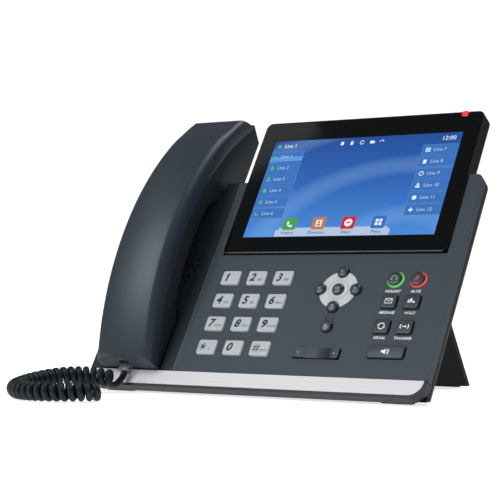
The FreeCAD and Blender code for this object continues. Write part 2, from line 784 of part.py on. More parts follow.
def rear_housing():
    """The back shell, with the flat sole it stands on and posts for the boards and the screen."""
    housing = new_body("rear_housing")
    seam_w = "-panel_wall - seam"
    rest = "(trim_deep - panel_wall - seam)"
    back = "-housing_deep"
    across = f"2 * ({HALF} - housing_inset)"
    side = new_sketch(housing, f"-({HALF} - housing_inset)", "YZ_Plane")
    sole_rise = "(housing_deep - trim_deep - seam) / tan(face_tilt * 1 deg)"
    top = "panel_top - housing_inset"
    draw_outline(side, [("housing_inset", "-trim_deep - seam"), (f"housing_inset + {sole_rise}", back),
                        (top, back),
                        (top, seam_w), ("crease + wall", seam_w), ("crease + wall", "-trim_deep - seam")])
    pad(housing, side, across)
    inner = new_sketch(housing, f"-({HALF} - housing_inset - wall)", "YZ_Plane")
    inside_rise = f"(housing_deep - wall - trim_deep - seam) / tan(face_tilt * 1 deg)"
    inside_low = "housing_inset + wall / sin(face_tilt * 1 deg)"
    draw_outline(inner, [(inside_low, "-trim_deep - seam"), (f"{inside_low} + {inside_rise}", BACK_INSIDE),
                         (f"{top} - wall", BACK_INSIDE), (f"{top} - wall", "0"), (inside_low, "0")])
    pocket(housing, inner, f"{across} - 2 * wall", True)
    rounding(housing, on_back_sides("wall"), "back_round - wall")
    rounding(housing, on_back_sides("0"), "back_round")
    box_pocket(housing, f"{FRAME_LEFT} - seam", f"{FRAME_RIGHT} + seam", "panel_top - 3 * wall",
               "panel_top + wall",
               "0", f"seam - {SCREEN_BACK}")
    box_pocket(housing, f"{HANDSET_LEFT} - pocket_gap - wall - seam",
               f"{HANDSET_RIGHT} + pocket_gap + wall + seam",
               "panel_top - 3 * wall", "panel_top + wall", "0",
               f"rest_gap + wall + seam - ({shoulder('panel_top')})")
    for place, level in BOARD_POSTS:
        disc_pad(housing, place, level, "post_radius", BACK_INSIDE, f"{BOARD_LOW} - {BACK_INSIDE}")
    for place, level in SCREEN_POSTS:
        disc_pad(housing, place, level, "post_radius", BACK_INSIDE, f"{SCREEN_BACK} - {BACK_INSIDE}")
    for place, level in SCREW_PLACES:
        disc_pad(housing, place, level, "screw_head", BACK_INSIDE, "screw_long")
        disc_pocket(housing, place, level, "screw_head + key_gap / 2", "screw_head_thick - housing_deep",
                    "wall")
        disc_pocket(housing, place, level, "screw_radius + pivot_gap", "0", "housing_deep")


def on_back_sides(depth_text):
    """A test for the long upright edges of the rear housing's back, at a depth inside its skin."""
    level = number(f"{depth_text} - housing_deep")
    edge_u = number(f"{HALF} - housing_inset - {depth_text}")

    def wanted(edge):
        box = edge.BoundBox
        return abs(box.ZMax - level) < 1e-5 and box.YLength > 1 and abs(abs(box.XMin) - edge_u) < 1e-5
    return wanted


def housing_screws():
    """Four screws that hold the back shell."""
    screws = []
    for place, level in SCREW_PLACES:
        head = doc.addObject("Part::Cylinder", "screw_head")
        tie(head, "Radius", "screw_head")
        tie(head, "Height", "screw_head_thick")
        shank = doc.addObject("Part::Cylinder", "screw_shank")
        tie(shank, "Radius", "screw_radius")
        tie(shank, "Height", "screw_long")
        for cylinder in (head, shank):
            tie(cylinder, "Placement.Base.x", place)
            tie(cylinder, "Placement.Base.y", level)
            tie(cylinder, "Placement.Base.z", "-housing_deep")
        screw = doc.addObject("Part::Fuse", "screw")
        screw.Base = head
        screw.Tool = shank
        screws.append(screw)
    lean(new_group("housing_screws", screws))


# Pieces at the back and under the phone, drawn upright

def back_plane_y(z_text):
    """The y of the rear housing's back at a height."""
    drop = f"({z_text} - {FACE_Z} + housing_deep * cos(face_tilt * 1 deg))"
    return f"(face_y + {drop} / tan(face_tilt * 1 deg) + housing_deep * sin(face_tilt * 1 deg))"


def face_y_of(v_text, w_text):
    """The y of a place on the leaning face."""
    return f"(face_y + ({v_text}) * cos(face_tilt * 1 deg) - ({w_text}) * sin(face_tilt * 1 deg))"


def face_z_of(v_text, w_text):
    """The height of a place on the leaning face."""
    return f"({FACE_Z} + ({v_text}) * sin(face_tilt * 1 deg) + ({w_text}) * cos(face_tilt * 1 deg))"


JACKS = [
    ("network_u", "network_wide", "network_tall"),
    ("network_u + network_pitch", "network_wide", "network_tall"),
    ("line_u", "line_wide", "line_tall"),
    ("line_u + line_pitch", "line_wide", "line_tall"),
    ("power_u", "power_wide", "power_tall"),
]


def upright_box(owner, left, right, low, high, back, depth):
    """A block drawn on its rear face, back along -Y from there."""
    drawing = new_sketch(owner, f"-({back})", "XZ_Plane")
    draw_box(drawing, left, right, low, high)
    pad(owner, drawing, depth)


def upright_pocket(owner, left, right, low, high, back, depth):
    """A cut from a rear face towards the front."""
    drawing = new_sketch(owner, f"-({back})", "XZ_Plane")
    draw_box(drawing, left, right, low, high)
    pocket(owner, drawing, depth, True)


def connector_bay():
    """The block on the back of the housing that holds the jacks."""
    bay = new_body("connector_bay", leaning=False)
    side = new_sketch(bay, "bay_left", "YZ_Plane")
    draw_outline(side, [(back_plane_y("bay_low"), "bay_low"), ("bay_y", "bay_low"), ("bay_y", "bay_high"),
                        (back_plane_y("bay_high"), "bay_high")])
    pad(bay, side, "bay_right - bay_left")
    for across, wide, tall in JACKS:
        gap = "plug_gap"
        upright_pocket(bay, f"{across} - {wide} / 2 - {gap}", f"{across} + {wide} / 2 + {gap}",
                       f"jack_z - {tall} / 2 - {gap}", f"jack_z + {tall} / 2 + {gap}", "bay_y",
                       f"jack_deep + {gap}")


def jack(label, across, wide, tall, mouth_wide, mouth_tall):
    """A jack with a square mouth at the back."""
    piece = new_body(label, leaning=False, whole=False)
    upright_box(piece, f"{across} - {wide} / 2", f"{across} + {wide} / 2", f"jack_z - {tall} / 2",
                f"jack_z + {tall} / 2", "bay_y + jack_proud", "jack_deep + jack_proud")
    upright_pocket(piece, f"{across} - {mouth_wide} / 2", f"{across} + {mouth_wide} / 2",
                   f"jack_z - {mouth_tall} / 2", f"jack_z + {mouth_tall} / 2", "bay_y + jack_proud",
                   "plug_long")
    return piece


def jacks():
    """Two network jacks, the handset and headset jacks and the power inlet."""
    line_mouth = ("(plug_wide + 2 * plug_gap)", "(plug_tall + 2 * plug_gap)")
    network_mouth = ("network_mouth_wide", "network_mouth_tall")
    new_group("network_jacks", [
        jack("network_jack", "network_u", "network_wide", "network_tall", *network_mouth),
        jack("computer_jack", "network_u + network_pitch", "network_wide", "network_tall", *network_mouth),
    ])
    new_group("cord_jacks", [
        jack("handset_jack", "line_u", "line_wide", "line_tall", *line_mouth),
        jack("headset_jack", "line_u + line_pitch", "line_wide", "line_tall", *line_mouth),
    ])
    power = new_body("power_jack", leaning=False)
    upright_box(power, "power_u - power_wide / 2", "power_u + power_wide / 2", "jack_z - power_tall / 2",
                "jack_z + power_tall / 2", "bay_y + jack_proud", "jack_deep + jack_proud")
    bore = new_sketch(power, "-(bay_y + jack_proud)", "XZ_Plane")
    draw_circle(bore, "power_u", "jack_z", "power_bore")
    draw_circle(bore, "power_u", "jack_z", "power_pin")
    pocket(power, bore, "plug_long", True)


def foot_stand():
    """The stand: a plate from the back of the housing down to the desk, open in the middle for cables."""
    stand = new_body("foot_stand", leaning=False)
    side = new_sketch(stand, "-stand_wide / 2", "YZ_Plane")
    back = "-housing_deep"
    clip = "-housing_deep - stand_clip_thick"
    low = "stand_top - stand_clip"
    leg = "stand_top - stand_shoulder"
    draw_outline(side, [("stand_foot_y", "foot_proud"),
                        (face_y_of("stand_top", back), face_z_of("stand_top", back)),
                        (face_y_of(low, back), face_z_of(low, back)),
                        (face_y_of(low, clip), face_z_of(low, clip)),
                        (face_y_of(leg, clip), face_z_of(leg, clip)),
                        ("stand_foot_y - stand_thick", "foot_proud")])
    pad(stand, side, "stand_wide")
    window = new_sketch(stand, "-stand_foot_y - wall", "XZ_Plane")
    draw_soft_box(window, "-stand_window_wide / 2", "stand_window_wide / 2", "-wall", "stand_window_high",
                  [None, None, "corner_low", "corner_low"])
    pocket(stand, window, "stand_foot_y - face_y", True)


def rubber_feet():
    """Four pads: two under the sole and two under the stand."""
    sole_y = face_y_of("housing_inset", "-trim_deep - seam")
    sole = f"({face_z_of('housing_inset', '-trim_deep - seam')})"
    stand_u = "(stand_wide + stand_window_wide) / 4"
    pads = []
    for side in ("-", ""):
        front = doc.addObject("Part::Box", "front_foot")
        tie(front, "Length", "foot_long")
        tie(front, "Width", "foot_deep")
        tie(front, "Height", sole)
        tie(front, "Placement.Base.x", f"{side}foot_u - foot_long / 2")
        tie(front, "Placement.Base.y", f"{sole_y} + wall")
        rear = doc.addObject("Part::Box", "rear_foot")
        tie(rear, "Length", "foot_long")
        tie(rear, "Width", "stand_thick - foot_sunk")
        tie(rear, "Height", "foot_proud")
        tie(rear, "Placement.Base.x", f"{side}{stand_u} - foot_long / 2")
        tie(rear, "Placement.Base.y", "stand_foot_y - stand_thick + foot_sunk / 2")
        pads += [front, rear]
    new_group("rubber_feet", pads)


# Handset

def top_end(depth_text):
    """The v of the handset's top end, which leans outwards with depth below the front."""
    return f"(handset_high + top_lean * ({depth_text}) / shell_deep)"


def handset_outer():
    """The outer shell: an arched channel with a rounded front."""
    shell = new_body("handset_outer_shell")
    side = new_sketch(shell, HANDSET_LEFT, "YZ_Plane")
    low = "handset_low"
    high = "handset_high"
    far = top_end("shell_deep")
    draw_outline(side, [(low, arch("arch_radius", low)), (low, arch(SHELL_ARC, low)), (far, arch(SHELL_ARC,
                                                                                                 far)),
                        (high, arch("arch_radius", high))],
                 [(1, (SHELL_ARC, ("arch_v", arch(SHELL_ARC, "arch_v")))),
                  (3, ("arch_radius", ("arch_v", "arch_crown")))])
    pad(shell, side, "handset_wide")
    rounding(shell, on_handset_front, "handset_round")
    inside = new_sketch(shell, f"{HANDSET_LEFT} + shell_wall", "YZ_Plane")
    hollow = "(arch_radius - shell_wall)"
    below = "(arch_radius - shell_deep - wall)"
    low_in = "handset_low + shell_wall"
    high_in = "handset_high - shell_wall"
    draw_outline(inside, [(low_in, arch(hollow, low_in)), (low_in, arch(below, low_in)), (high_in,
                                                                                          arch(below,
                                                                                               high_in)),
                          (high_in, arch(hollow, high_in))],
                 [(1, (below, ("arch_v", arch(below, "arch_v")))), (3, (hollow, ("arch_v", arch(hollow,
                                                                                                "arch_v"))))])
    pocket(shell, inside, "handset_wide - 2 * shell_wall", True)
    mouth = new_sketch(shell, "-(handset_low + shell_wall + wall)", "XZ_Plane")
    gap = "plug_gap"
    draw_box(mouth, f"{HANDSET_U} - plug_wide / 2 - {gap}", f"{HANDSET_U} + plug_wide / 2 + {gap}",
             f"plug_w - plug_tall / 2 - {gap}", f"plug_w + plug_tall / 2 + {gap}")
    pocket(shell, mouth, "shell_wall + 2 * wall", True)


def on_handset_front(edge):
    """A test for the two long front edges and the two end edges of the handset's outer shell."""
    box = edge.BoundBox
    if box.XLength < 1e-4:
        return box.YLength > 100 and box.ZMax > number("arch_crown") - 1e-3
    low_end = abs(box.YMax - number("handset_low")) < 1e-4
    high_end = abs(box.YMax - number("handset_high")) < 1e-4
    front = number(arch("arch_radius", "handset_low" if low_end else "handset_high"))
    return (low_end or high_end) and abs(box.ZMax - front) < 1e-4


def handset_inner():
    """The inner shell, with the mouth and ear cups, the grip's underside and the cavity between."""
    shell = new_body("handset_inner_shell")
    left = f"{HANDSET_LEFT} + inner_inset"
    wide = "handset_wide - 2 * inner_inset"
    side = new_sketch(shell, left, "YZ_Plane")
    low = "handset_low"
    far = top_end("shell_deep")
    grip_crown = ("arch_v", arch(GRIP_ARC, "arch_v"))
    shell_crown = ("arch_v", arch(SHELL_ARC, "arch_v"))
    draw_outline(side, [
        (low, arch(SHELL_ARC, low)),
        ("handset_low + inner_round", "mouth_floor + inner_round"),
        ("mouth_start", "mouth_floor"),
        ("mouth_end", "mouth_floor"),
        ("mouth_rise", arch(GRIP_ARC, "mouth_rise")),
        ("shoulder_v", SHOULDER_W),
        ("ear_start", "ear_floor"),
        ("ear_end", "ear_floor"),
        ("ear_top", "ear_top_drop"),
        (far, arch(SHELL_ARC, far)),
    ], [(4, (GRIP_ARC, grip_crown)), (9, (SHELL_ARC, shell_crown))])
    pad(shell, side, wide)
    inside = new_sketch(shell, f"{left} + shell_wall", "YZ_Plane")
    hollow = "(arch_radius - grip_deep + shell_wall)"
    above = "(arch_radius - shell_deep + wall)"
    low_in = "handset_low + shell_wall"
    high_in = "handset_high - shell_wall"
    rise_in = "mouth_rise - shell_wall / 2"
    hollow_crown = ("arch_v", arch(hollow, "arch_v"))
    above_crown = ("arch_v", arch(above, "arch_v"))
    draw_outline(inside, [
        (low_in, arch(above, low_in)),
        (low_in, "mouth_floor + inner_round + shell_wall"),
        ("mouth_start + shell_wall / 2", "mouth_floor + shell_wall"),
        ("mouth_end - shell_wall / 2", "mouth_floor + shell_wall"),
        (rise_in, arch(hollow, rise_in)),
        ("shoulder_v", arch(hollow, "shoulder_v")),
        ("ear_start + shell_wall / 2", "ear_floor + shell_wall"),
        ("ear_end", "ear_floor + shell_wall"),
        (high_in, arch(above, high_in)),
    ], [(4, (hollow, hollow_crown)), (8, (above, above_crown))])
    pocket(shell, inside, f"{wide} - 2 * shell_wall", True)


def handset_insides():
    """Receiver, microphone, weight, socket and the cord's plug."""
    receiver = new_body("ear_receiver")
    disc_pad(receiver, HANDSET_U, "receiver_v", "receiver_radius", "ear_floor + shell_wall",
             "receiver_thick")
    microphone = new_body("microphone")
    disc_pad(microphone, HANDSET_U, "microphone_v", "microphone_radius", "mouth_floor + shell_wall",
             "microphone_thick")
    weight = new_body("handset_weight")
    box_pad(weight, f"{HANDSET_U} - weight_wide / 2", f"{HANDSET_U} + weight_wide / 2",
            "arch_v - weight_long / 2",
            "arch_v + weight_long / 2", "arch_crown - grip_deep + shell_wall + plug_gap", "weight_thick",
            "edge_round")
    socket = new_body("handset_socket")
    inner = "handset_low + shell_wall + plug_gap"
    box_pad(socket, f"{HANDSET_U} - socket_wide / 2", f"{HANDSET_U} + socket_wide / 2", inner,
            f"{inner} + socket_long",
            "plug_w - socket_tall / 2", "socket_tall")
    mouth = new_sketch(socket, f"-({inner})", "XZ_Plane")
    draw_box(mouth, f"{HANDSET_U} - plug_wide / 2 - plug_gap", f"{HANDSET_U} + plug_wide / 2 + plug_gap",
             "plug_w - plug_tall / 2 - plug_gap", "plug_w + plug_tall / 2 + plug_gap")
    pocket(socket, mouth, "plug_long - plug_out")
    plug = new_body("cord_plug_handset")
    box_pad(plug, f"{HANDSET_U} - plug_wide / 2", f"{HANDSET_U} + plug_wide / 2", "handset_low - plug_out",
            "handset_low - plug_out + plug_long", "plug_w - plug_tall / 2", "plug_tall", "edge_round")


# Cord

def on_face(across, up, out):
    """A place of the leaning face, in the phone's own frame."""
    turn = FreeCAD.Rotation(Vector(1, 0, 0), number("face_tilt"))
    return turn.multVec(Vector(across, up, out)) + Vector(0, number("face_y"), number(FACE_Z))


def face_turn(direction):
    """A direction of the leaning face, in the phone's own frame."""
    return FreeCAD.Rotation(Vector(1, 0, 0), number("face_tilt")).multVec(direction)


def tangent_arc(start, corner, finish):
    """The arc from start to finish that runs along the two equal legs of a corner."""
    chord = (start + finish) * 0.5
    leg = corner.distanceToPoint(start)
    half = start.distanceToPoint(finish) / 2
    height = corner.distanceToPoint(chord)
    if height < 1e-6:
        return Part.LineSegment(start, finish)
    radius = leg * half / height
    rise = radius - math.sqrt(max(radius * radius - half * half, 0))
    return Part.Arc(start, chord + (corner - chord) * (rise / height), finish)


def biarc(start, heading, finish, arrival):
    """Two tangent arcs from a place and heading to another place and heading."""
    gap = finish - start
    both = heading + arrival
    spread = 2 * (1 - heading.dot(arrival))
    reach = gap.dot(both)
    if spread < 1e-9:
        leg = gap.dot(gap) / (2 * reach)
    else:
        leg = (math.sqrt(reach * reach + spread * gap.dot(gap)) - reach) / spread
    first = start + heading * leg
    last = finish - arrival * leg
    middle = (first + last) * 0.5
    return [tangent_arc(start, first, middle), tangent_arc(middle, last, finish)]


def coil_axis(share):
    """Place of the coil's middle line and its outward side, a share of the way round its loop on the desk.

    The coil rises where the straight lead passes under it.
    """
    angle = math.radians(number("loop_start") + number("loop_sweep") * share)
    radius = number("loop_radius")
    away = min(1, abs(share - number("lift_at")) / number("lift_spread"))
    lift = number("coil_lift") * math.cos(math.pi / 2 * away) ** 2
    floor = number("curl_radius + cord_radius")
    outward = Vector(math.cos(angle), math.sin(angle), 0)
    return Vector(number("loop_x"), number("loop_y"), floor + lift) + outward * radius, outward


def curl_point(turn):
    """A point of the cord's wire, some turns along the coil. Whole turns lie at the bottom."""
    place, outward = coil_axis(turn / number("curl_count"))
    swing = number("curl_radius")
    angle = 2 * math.pi * turn
    return place - outward * (swing * math.sin(angle)) - Vector(0, 0, swing * math.cos(angle))


def curl_heading(turn):
    """The wire's direction there."""
    step = 1e-4
    return (curl_point(turn + step) - curl_point(turn - step)).normalize()


def least_gap(curves, diameter):
    """The least clear distance of a wire to itself, measured on points along it."""
    points = []
    for curve in curves:
        length = curve.length()
        steps = max(2, int(length / 1.2))
        for step in range(steps):
            points.append(curve.value(curve.FirstParameter
                                      + (curve.LastParameter - curve.FirstParameter) * step / steps))
    travelled = [0.0]
    for before, after in zip(points, points[1:]):
        travelled.append(travelled[-1] + before.distanceToPoint(after))
    least = 1e9
    for index, place in enumerate(points):
        for other in range(index + 1, len(points)):
            if travelled[other] - travelled[index] > 3 * diameter:
                least = min(least, place.distanceToPoint(points[other]))
    return least - diameter


def sweep(label, curves):
    """One tube along tangent curves."""
    radius = number("cord_radius")
    first = curves[0]
    heading = first.tangent(first.FirstParameter)[0]
    ring = Part.Wire(Part.Circle(first.value(first.FirstParameter), heading, radius).toShape())
    path = Part.Wire([curve.toShape() for curve in curves])
    tube = path.makePipeShell([ring], True, False)
    piece = doc.addObject("Part::Feature", label)
    piece.Label = label
    piece.Shape = tube
    SUB_PARTS.append(piece)
    length = sum(curve.length() for curve in curves)
    print(f"{label}: length {length:.1f}, volume over section times length "
          f"{tube.Volume / (math.pi * radius * radius * length):.4f}")
    return length


def handset_cord():
    """The curly cord: a short tail from the handset's plug, the coil on the desk and a straight end."""
    radius = number("cord_radius")
    start = on_face(number(HANDSET_U), number("handset_low - plug_out"), number("plug_w"))
    down = face_turn(Vector(0, -1, 0))
    below = start + down * number("tail_drop")
    curves = [Part.LineSegment(start, below)]
    count = int(number("curl_count"))
    turns = [step / 4 - 1 / 8 for step in range(4 * count + 1)] + [count]
    places = [(curl_point(turn), curl_heading(turn)) for turn in turns]
    curves += biarc(below, down, *places[0])
    for (here, heading), (there, arrival) in zip(places, places[1:]):
        curves += biarc(here, heading, there, arrival)
    end, flat = places[-1]
    last = end + flat * (2 * radius)
    curves.append(Part.LineSegment(end, last))
    bends = [curve for curve in curves if isinstance(curve, Part.Arc)]
    tightest = min(1 / bend.curvature(bend.FirstParameter) for bend in bends)
    print(f"handset_cord: tightest arc {tightest:.2f}, "
          f"least gap to itself {least_gap(curves, 2 * radius):.2f}")
    sweep("handset_cord", curves)
    return last, flat


def rounded_route(places):
    """Straight runs joined by arcs as large as the runs allow."""
    curves = []
    here = places[0]
    radii = []
    for before, corner, after in zip(places, places[1:], places[2:]):
        entry = (corner - before).normalize()
        leave = (after - corner).normalize()
        leg = 0.45 * min(before.distanceToPoint(corner), corner.distanceToPoint(after))
        turn = entry.getAngle(leave)
        radii.append(leg / math.tan(turn / 2))
        bend = tangent_arc(corner - entry * leg, corner, corner + leave * leg)
        curves += [Part.LineSegment(here, bend.StartPoint), bend]
        here = bend.EndPoint
    curves.append(Part.LineSegment(here, places[-1]))
    print("cord_lead radii", " ".join(f"{radius:.0f}" for radius in radii))
    return curves


# Route of the straight lead on the desk, from the coil's end round the left side to the jack at the back
LEAD_ROUTE = [
    (-84, -144, 2.35), (-104, -123, 2.35), (-124, -104, 2.35), (-142, -84, 2.35), (-152, -59, 2.35),
    (-152, -33, 2.35), (-149, -5, 2.35), (-150, 21, 2.35), (-143, 45, 2.35), (-124, 60, 5), (-104, 54, 14),
    (-98, 34, 25),
]


def cord_lead(start, heading):
    """The straight end of the cord, round the base to its jack, and the plug in that jack."""
    plug = new_body("cord_plug_base", leaning=False)
    upright_box(plug, "line_u - plug_wide / 2", "line_u + plug_wide / 2", "jack_z - plug_tall / 2",
                "jack_z + plug_tall / 2", "bay_y + jack_proud + plug_out", "plug_long")
    mouth = Vector(number("line_u"), number("bay_y + jack_proud + plug_out"), number("jack_z"))
    places = [start, start + heading * 14]
    places += [Vector(*place) for place in LEAD_ROUTE]
    places += [mouth + Vector(0, 14, 0), mouth]
    sweep("cord_lead", rounded_route(places))


front_panel()
lower_trim()
silver_band()
handset_cradle()
hook_switch()
handsfree_speaker()
screen_pieces()
nav_plate()
for word, across, up in LIT_KEYS:
    lit_key(word, across, up)
for label, across, up in DOME_KEYS:
    dome_key(label, across, up, "nav_key", "dome_proud", "key_edge * 2")
for label, across, up, wide, tall in SQUARE_KEYS:
    square_key(label, across, up, wide, tall)
volume_rocker()
boards()
rear_housing()
housing_screws()
connector_bay()
jacks()
foot_stand()
rubber_feet()
handset_outer()
handset_inner()
handset_insides()
cord_lead(*handset_cord())

doc.recompute()
for item in doc.Objects:
    if "Invalid" in item.State or "Error" in item.State:
        raise RuntimeError(f"{item.Name} failed: {item.State}")
for piece in SUB_PARTS:
    if piece.Shape.isNull() or not piece.Shape.isValid():
        raise RuntimeError(f"{piece.Label} has no valid shape")
os.makedirs("parts", exist_ok=True)
for piece in SUB_PARTS:
    piece.Shape.exportStep(f"parts/{piece.Label}.step")
print(len(SUB_PARTS), "sub-parts")
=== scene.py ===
import json
import math

import bpy
from mathutils import Matrix, Vector

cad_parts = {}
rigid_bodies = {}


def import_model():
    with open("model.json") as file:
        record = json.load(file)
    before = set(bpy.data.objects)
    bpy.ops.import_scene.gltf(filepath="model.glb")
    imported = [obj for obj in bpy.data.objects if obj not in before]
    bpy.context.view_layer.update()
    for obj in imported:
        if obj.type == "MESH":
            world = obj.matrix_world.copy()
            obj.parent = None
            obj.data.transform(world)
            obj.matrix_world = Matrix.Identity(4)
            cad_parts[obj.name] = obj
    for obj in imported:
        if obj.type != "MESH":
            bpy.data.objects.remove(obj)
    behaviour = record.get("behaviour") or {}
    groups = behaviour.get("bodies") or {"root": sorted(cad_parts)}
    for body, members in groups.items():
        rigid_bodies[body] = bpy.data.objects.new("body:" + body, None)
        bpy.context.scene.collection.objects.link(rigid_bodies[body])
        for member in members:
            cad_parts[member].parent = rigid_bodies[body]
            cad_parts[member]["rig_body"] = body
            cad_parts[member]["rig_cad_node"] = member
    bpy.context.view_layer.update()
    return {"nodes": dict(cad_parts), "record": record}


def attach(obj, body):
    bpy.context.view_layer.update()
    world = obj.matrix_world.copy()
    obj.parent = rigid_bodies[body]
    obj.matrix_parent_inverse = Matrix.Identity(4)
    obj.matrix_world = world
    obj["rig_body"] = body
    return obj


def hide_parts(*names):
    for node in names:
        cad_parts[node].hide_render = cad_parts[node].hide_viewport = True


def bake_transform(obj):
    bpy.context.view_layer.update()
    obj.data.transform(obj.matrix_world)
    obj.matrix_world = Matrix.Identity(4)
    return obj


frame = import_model()
MM = 0.001

# The leaning face: u to the right, v up the face, w out of the panel, in millimetres
FACE_TILT = math.radians(57.7)
FACE_Y = -87.95
FACE_Z = 0.8 + 8 * math.cos(FACE_TILT)
FACE = (Matrix.Translation((0, FACE_Y * MM, FACE_Z * MM)) @ Matrix.Rotation(FACE_TILT, 4, "X")
        @ Matrix.Scale(MM, 4))

# Places on the face, as the CAD has them
HANDSET_U, HANDSET_WIDE = -100, 48
SCREEN_U, SCREEN_V, SCREEN_WIDE, SCREEN_TALL = 35.5, 166.5, 154.0, 86.0
KEY_U, KEY_V, KEY_STEP_U, KEY_STEP_V = -40.1, 89.2, 22, 19
SWITCH_U, SWITCH_STEP = 92.7, 17.1
LIT_ROW, TOP_ROW, LOW_ROW, SPEAKER_ROW = 88.3, 70.9, 51.5, 32.4
NAV_U, NAV_V, NAV_REACH, CANCEL_V = 50.7, 80.3, 13.9, 50.7
ROCKER_MINUS_U, ROCKER_PLUS_U, ROCKER_V = 35.2, 63.2, 30.1
KEY_TOP, DOME_TOP, ROCKER_TOP, GLASS_TOP = 1.7, 2.6, 1.5, 2.0
BACK, EAR_FLOOR, MOUTH_FLOOR = -26, -22, -7
EAR_V, MOUTH_V = 207, 37


def on_face(u, v, w):
    """A place of the face, in metres in the phone's frame."""
    return FACE @ Vector((u, v, w))


def deselect():
    """Leaves nothing selected, in object mode."""
    if bpy.context.object and bpy.context.object.mode != "OBJECT":
        bpy.ops.object.mode_set(mode="OBJECT")
    bpy.ops.object.select_all(action="DESELECT")


def pick(piece):
    """Makes one piece the only one selected."""
    deselect()
    piece.select_set(True)
    bpy.context.view_layer.objects.active = piece


# Finishes

def new_group(name, inputs, outputs):
    """An empty shader group with its sockets, and its two end nodes."""
    group = bpy.data.node_groups.new(name, "ShaderNodeTree")
    for label, kind, value in inputs:
        socket = group.interface.new_socket(label, in_out="INPUT", socket_type=kind)
        socket.default_value = value
    for label, kind in outputs:
        group.interface.new_socket(label, in_out="OUTPUT", socket_type=kind)
    return group, group.nodes.new("NodeGroupInput"), group.nodes.new("NodeGroupOutput")


def moulded_group():
    """Moulded plastic: fine spark-eroded grain, faint mottling of colour and a rubbed, uneven sheen."""
    group, start, end = new_group("moulded_plastic", [
        ("Color", "NodeSocketColor", (0.1, 0.1, 0.1, 1)), ("Roughness", "NodeSocketFloat", 0.45),
        ("Grain size", "NodeSocketFloat", 2600.0), ("Mottle", "NodeSocketFloat", 0.06),
    ], [("Color", "NodeSocketColor"), ("Roughness", "NodeSocketFloat"), ("Height", "NodeSocketFloat")])
    nodes, link = group.nodes, group.links.new
    place = nodes.new("ShaderNodeTexCoord")
    grain = nodes.new("ShaderNodeTexNoise")
    grain.inputs["Detail"].default_value = 3
    link(place.outputs["Object"], grain.inputs["Vector"])
    link(start.outputs["Grain size"], grain.inputs["Scale"])
    cloud = nodes.new("ShaderNodeTexNoise")
    cloud.inputs["Scale"].default_value = 38
    cloud.inputs["Detail"].default_value = 4
    link(place.outputs["Object"], cloud.inputs["Vector"])
    centred = nodes.new("ShaderNodeMath")
    centred.operation = "SUBTRACT"
    centred.inputs[1].default_value = 0.5
    link(cloud.outputs["Fac"], centred.inputs[0])
    amount = nodes.new("ShaderNodeMath")
    amount.operation = "MULTIPLY"
    link(centred.outputs[0], amount.inputs[0])
    link(start.outputs["Mottle"], amount.inputs[1])
    value = nodes.new("ShaderNodeMath")
    value.operation = "ADD"
    value.inputs[1].default_value = 1
    link(amount.outputs[0], value.inputs[0])
    tint = nodes.new("ShaderNodeHueSaturation")
    link(start.outputs["Color"], tint.inputs["Color"])
    link(value.outputs[0], tint.inputs["Value"])
    link(tint.outputs["Color"], end.inputs["Color"])
    sheen = nodes.new("ShaderNodeMath")
    sheen.operation = "ADD"
    link(start.outputs["Roughness"], sheen.inputs[0])
    link(amount.outputs[0], sheen.inputs[1])
    link(sheen.outputs[0], end.inputs["Roughness"])
    link(grain.outputs["Fac"], end.inputs["Height"])
    return group


MOULDED = moulded_group()


def new_finish(name):
    """A new material, its node tree and its shader."""
    finish = bpy.data.materials.new(name)
    finish.use_nodes = True
    return finish, finish.node_tree, finish.node_tree.nodes["Principled BSDF"]


def tune(finish, settings):
    """Sets inputs of a material's shader by name."""
    for label, value in settings.items():
        finish.node_tree.nodes["Principled BSDF"].inputs[label].default_value = value
    return finish


def plastic(name, color, roughness, grain=2600.0, depth=0.12, mottle=0.06, coat=0.0, shine=0.5):
    """Moulded plastic or rubber."""
    finish, tree, shader = new_finish(name)
    detail = tree.nodes.new("ShaderNodeGroup")
    detail.node_tree = MOULDED
    detail.inputs["Color"].default_value = (*color, 1)
    detail.inputs["Roughness"].default_value = roughness
    detail.inputs["Grain size"].default_value = grain
    detail.inputs["Mottle"].default_value = mottle
    bump = tree.nodes.new("ShaderNodeBump")
    bump.inputs["Strength"].default_value = depth
    bump.inputs["Distance"].default_value = 0.0002
    tree.links.new(detail.outputs["Height"], bump.inputs["Height"])
    tree.links.new(detail.outputs["Color"], shader.inputs["Base Color"])
    tree.links.new(detail.outputs["Roughness"], shader.inputs["Roughness"])
    tree.links.new(bump.outputs["Normal"], shader.inputs["Normal"])
    shader.inputs["Specular IOR Level"].default_value = shine
    shader.inputs["Specular Tint"].default_value = (0.80, 0.90, 1.0, 1)
    shader.inputs["Coat Weight"].default_value = coat
    shader.inputs["Coat Roughness"].default_value = 0.12
    return finish


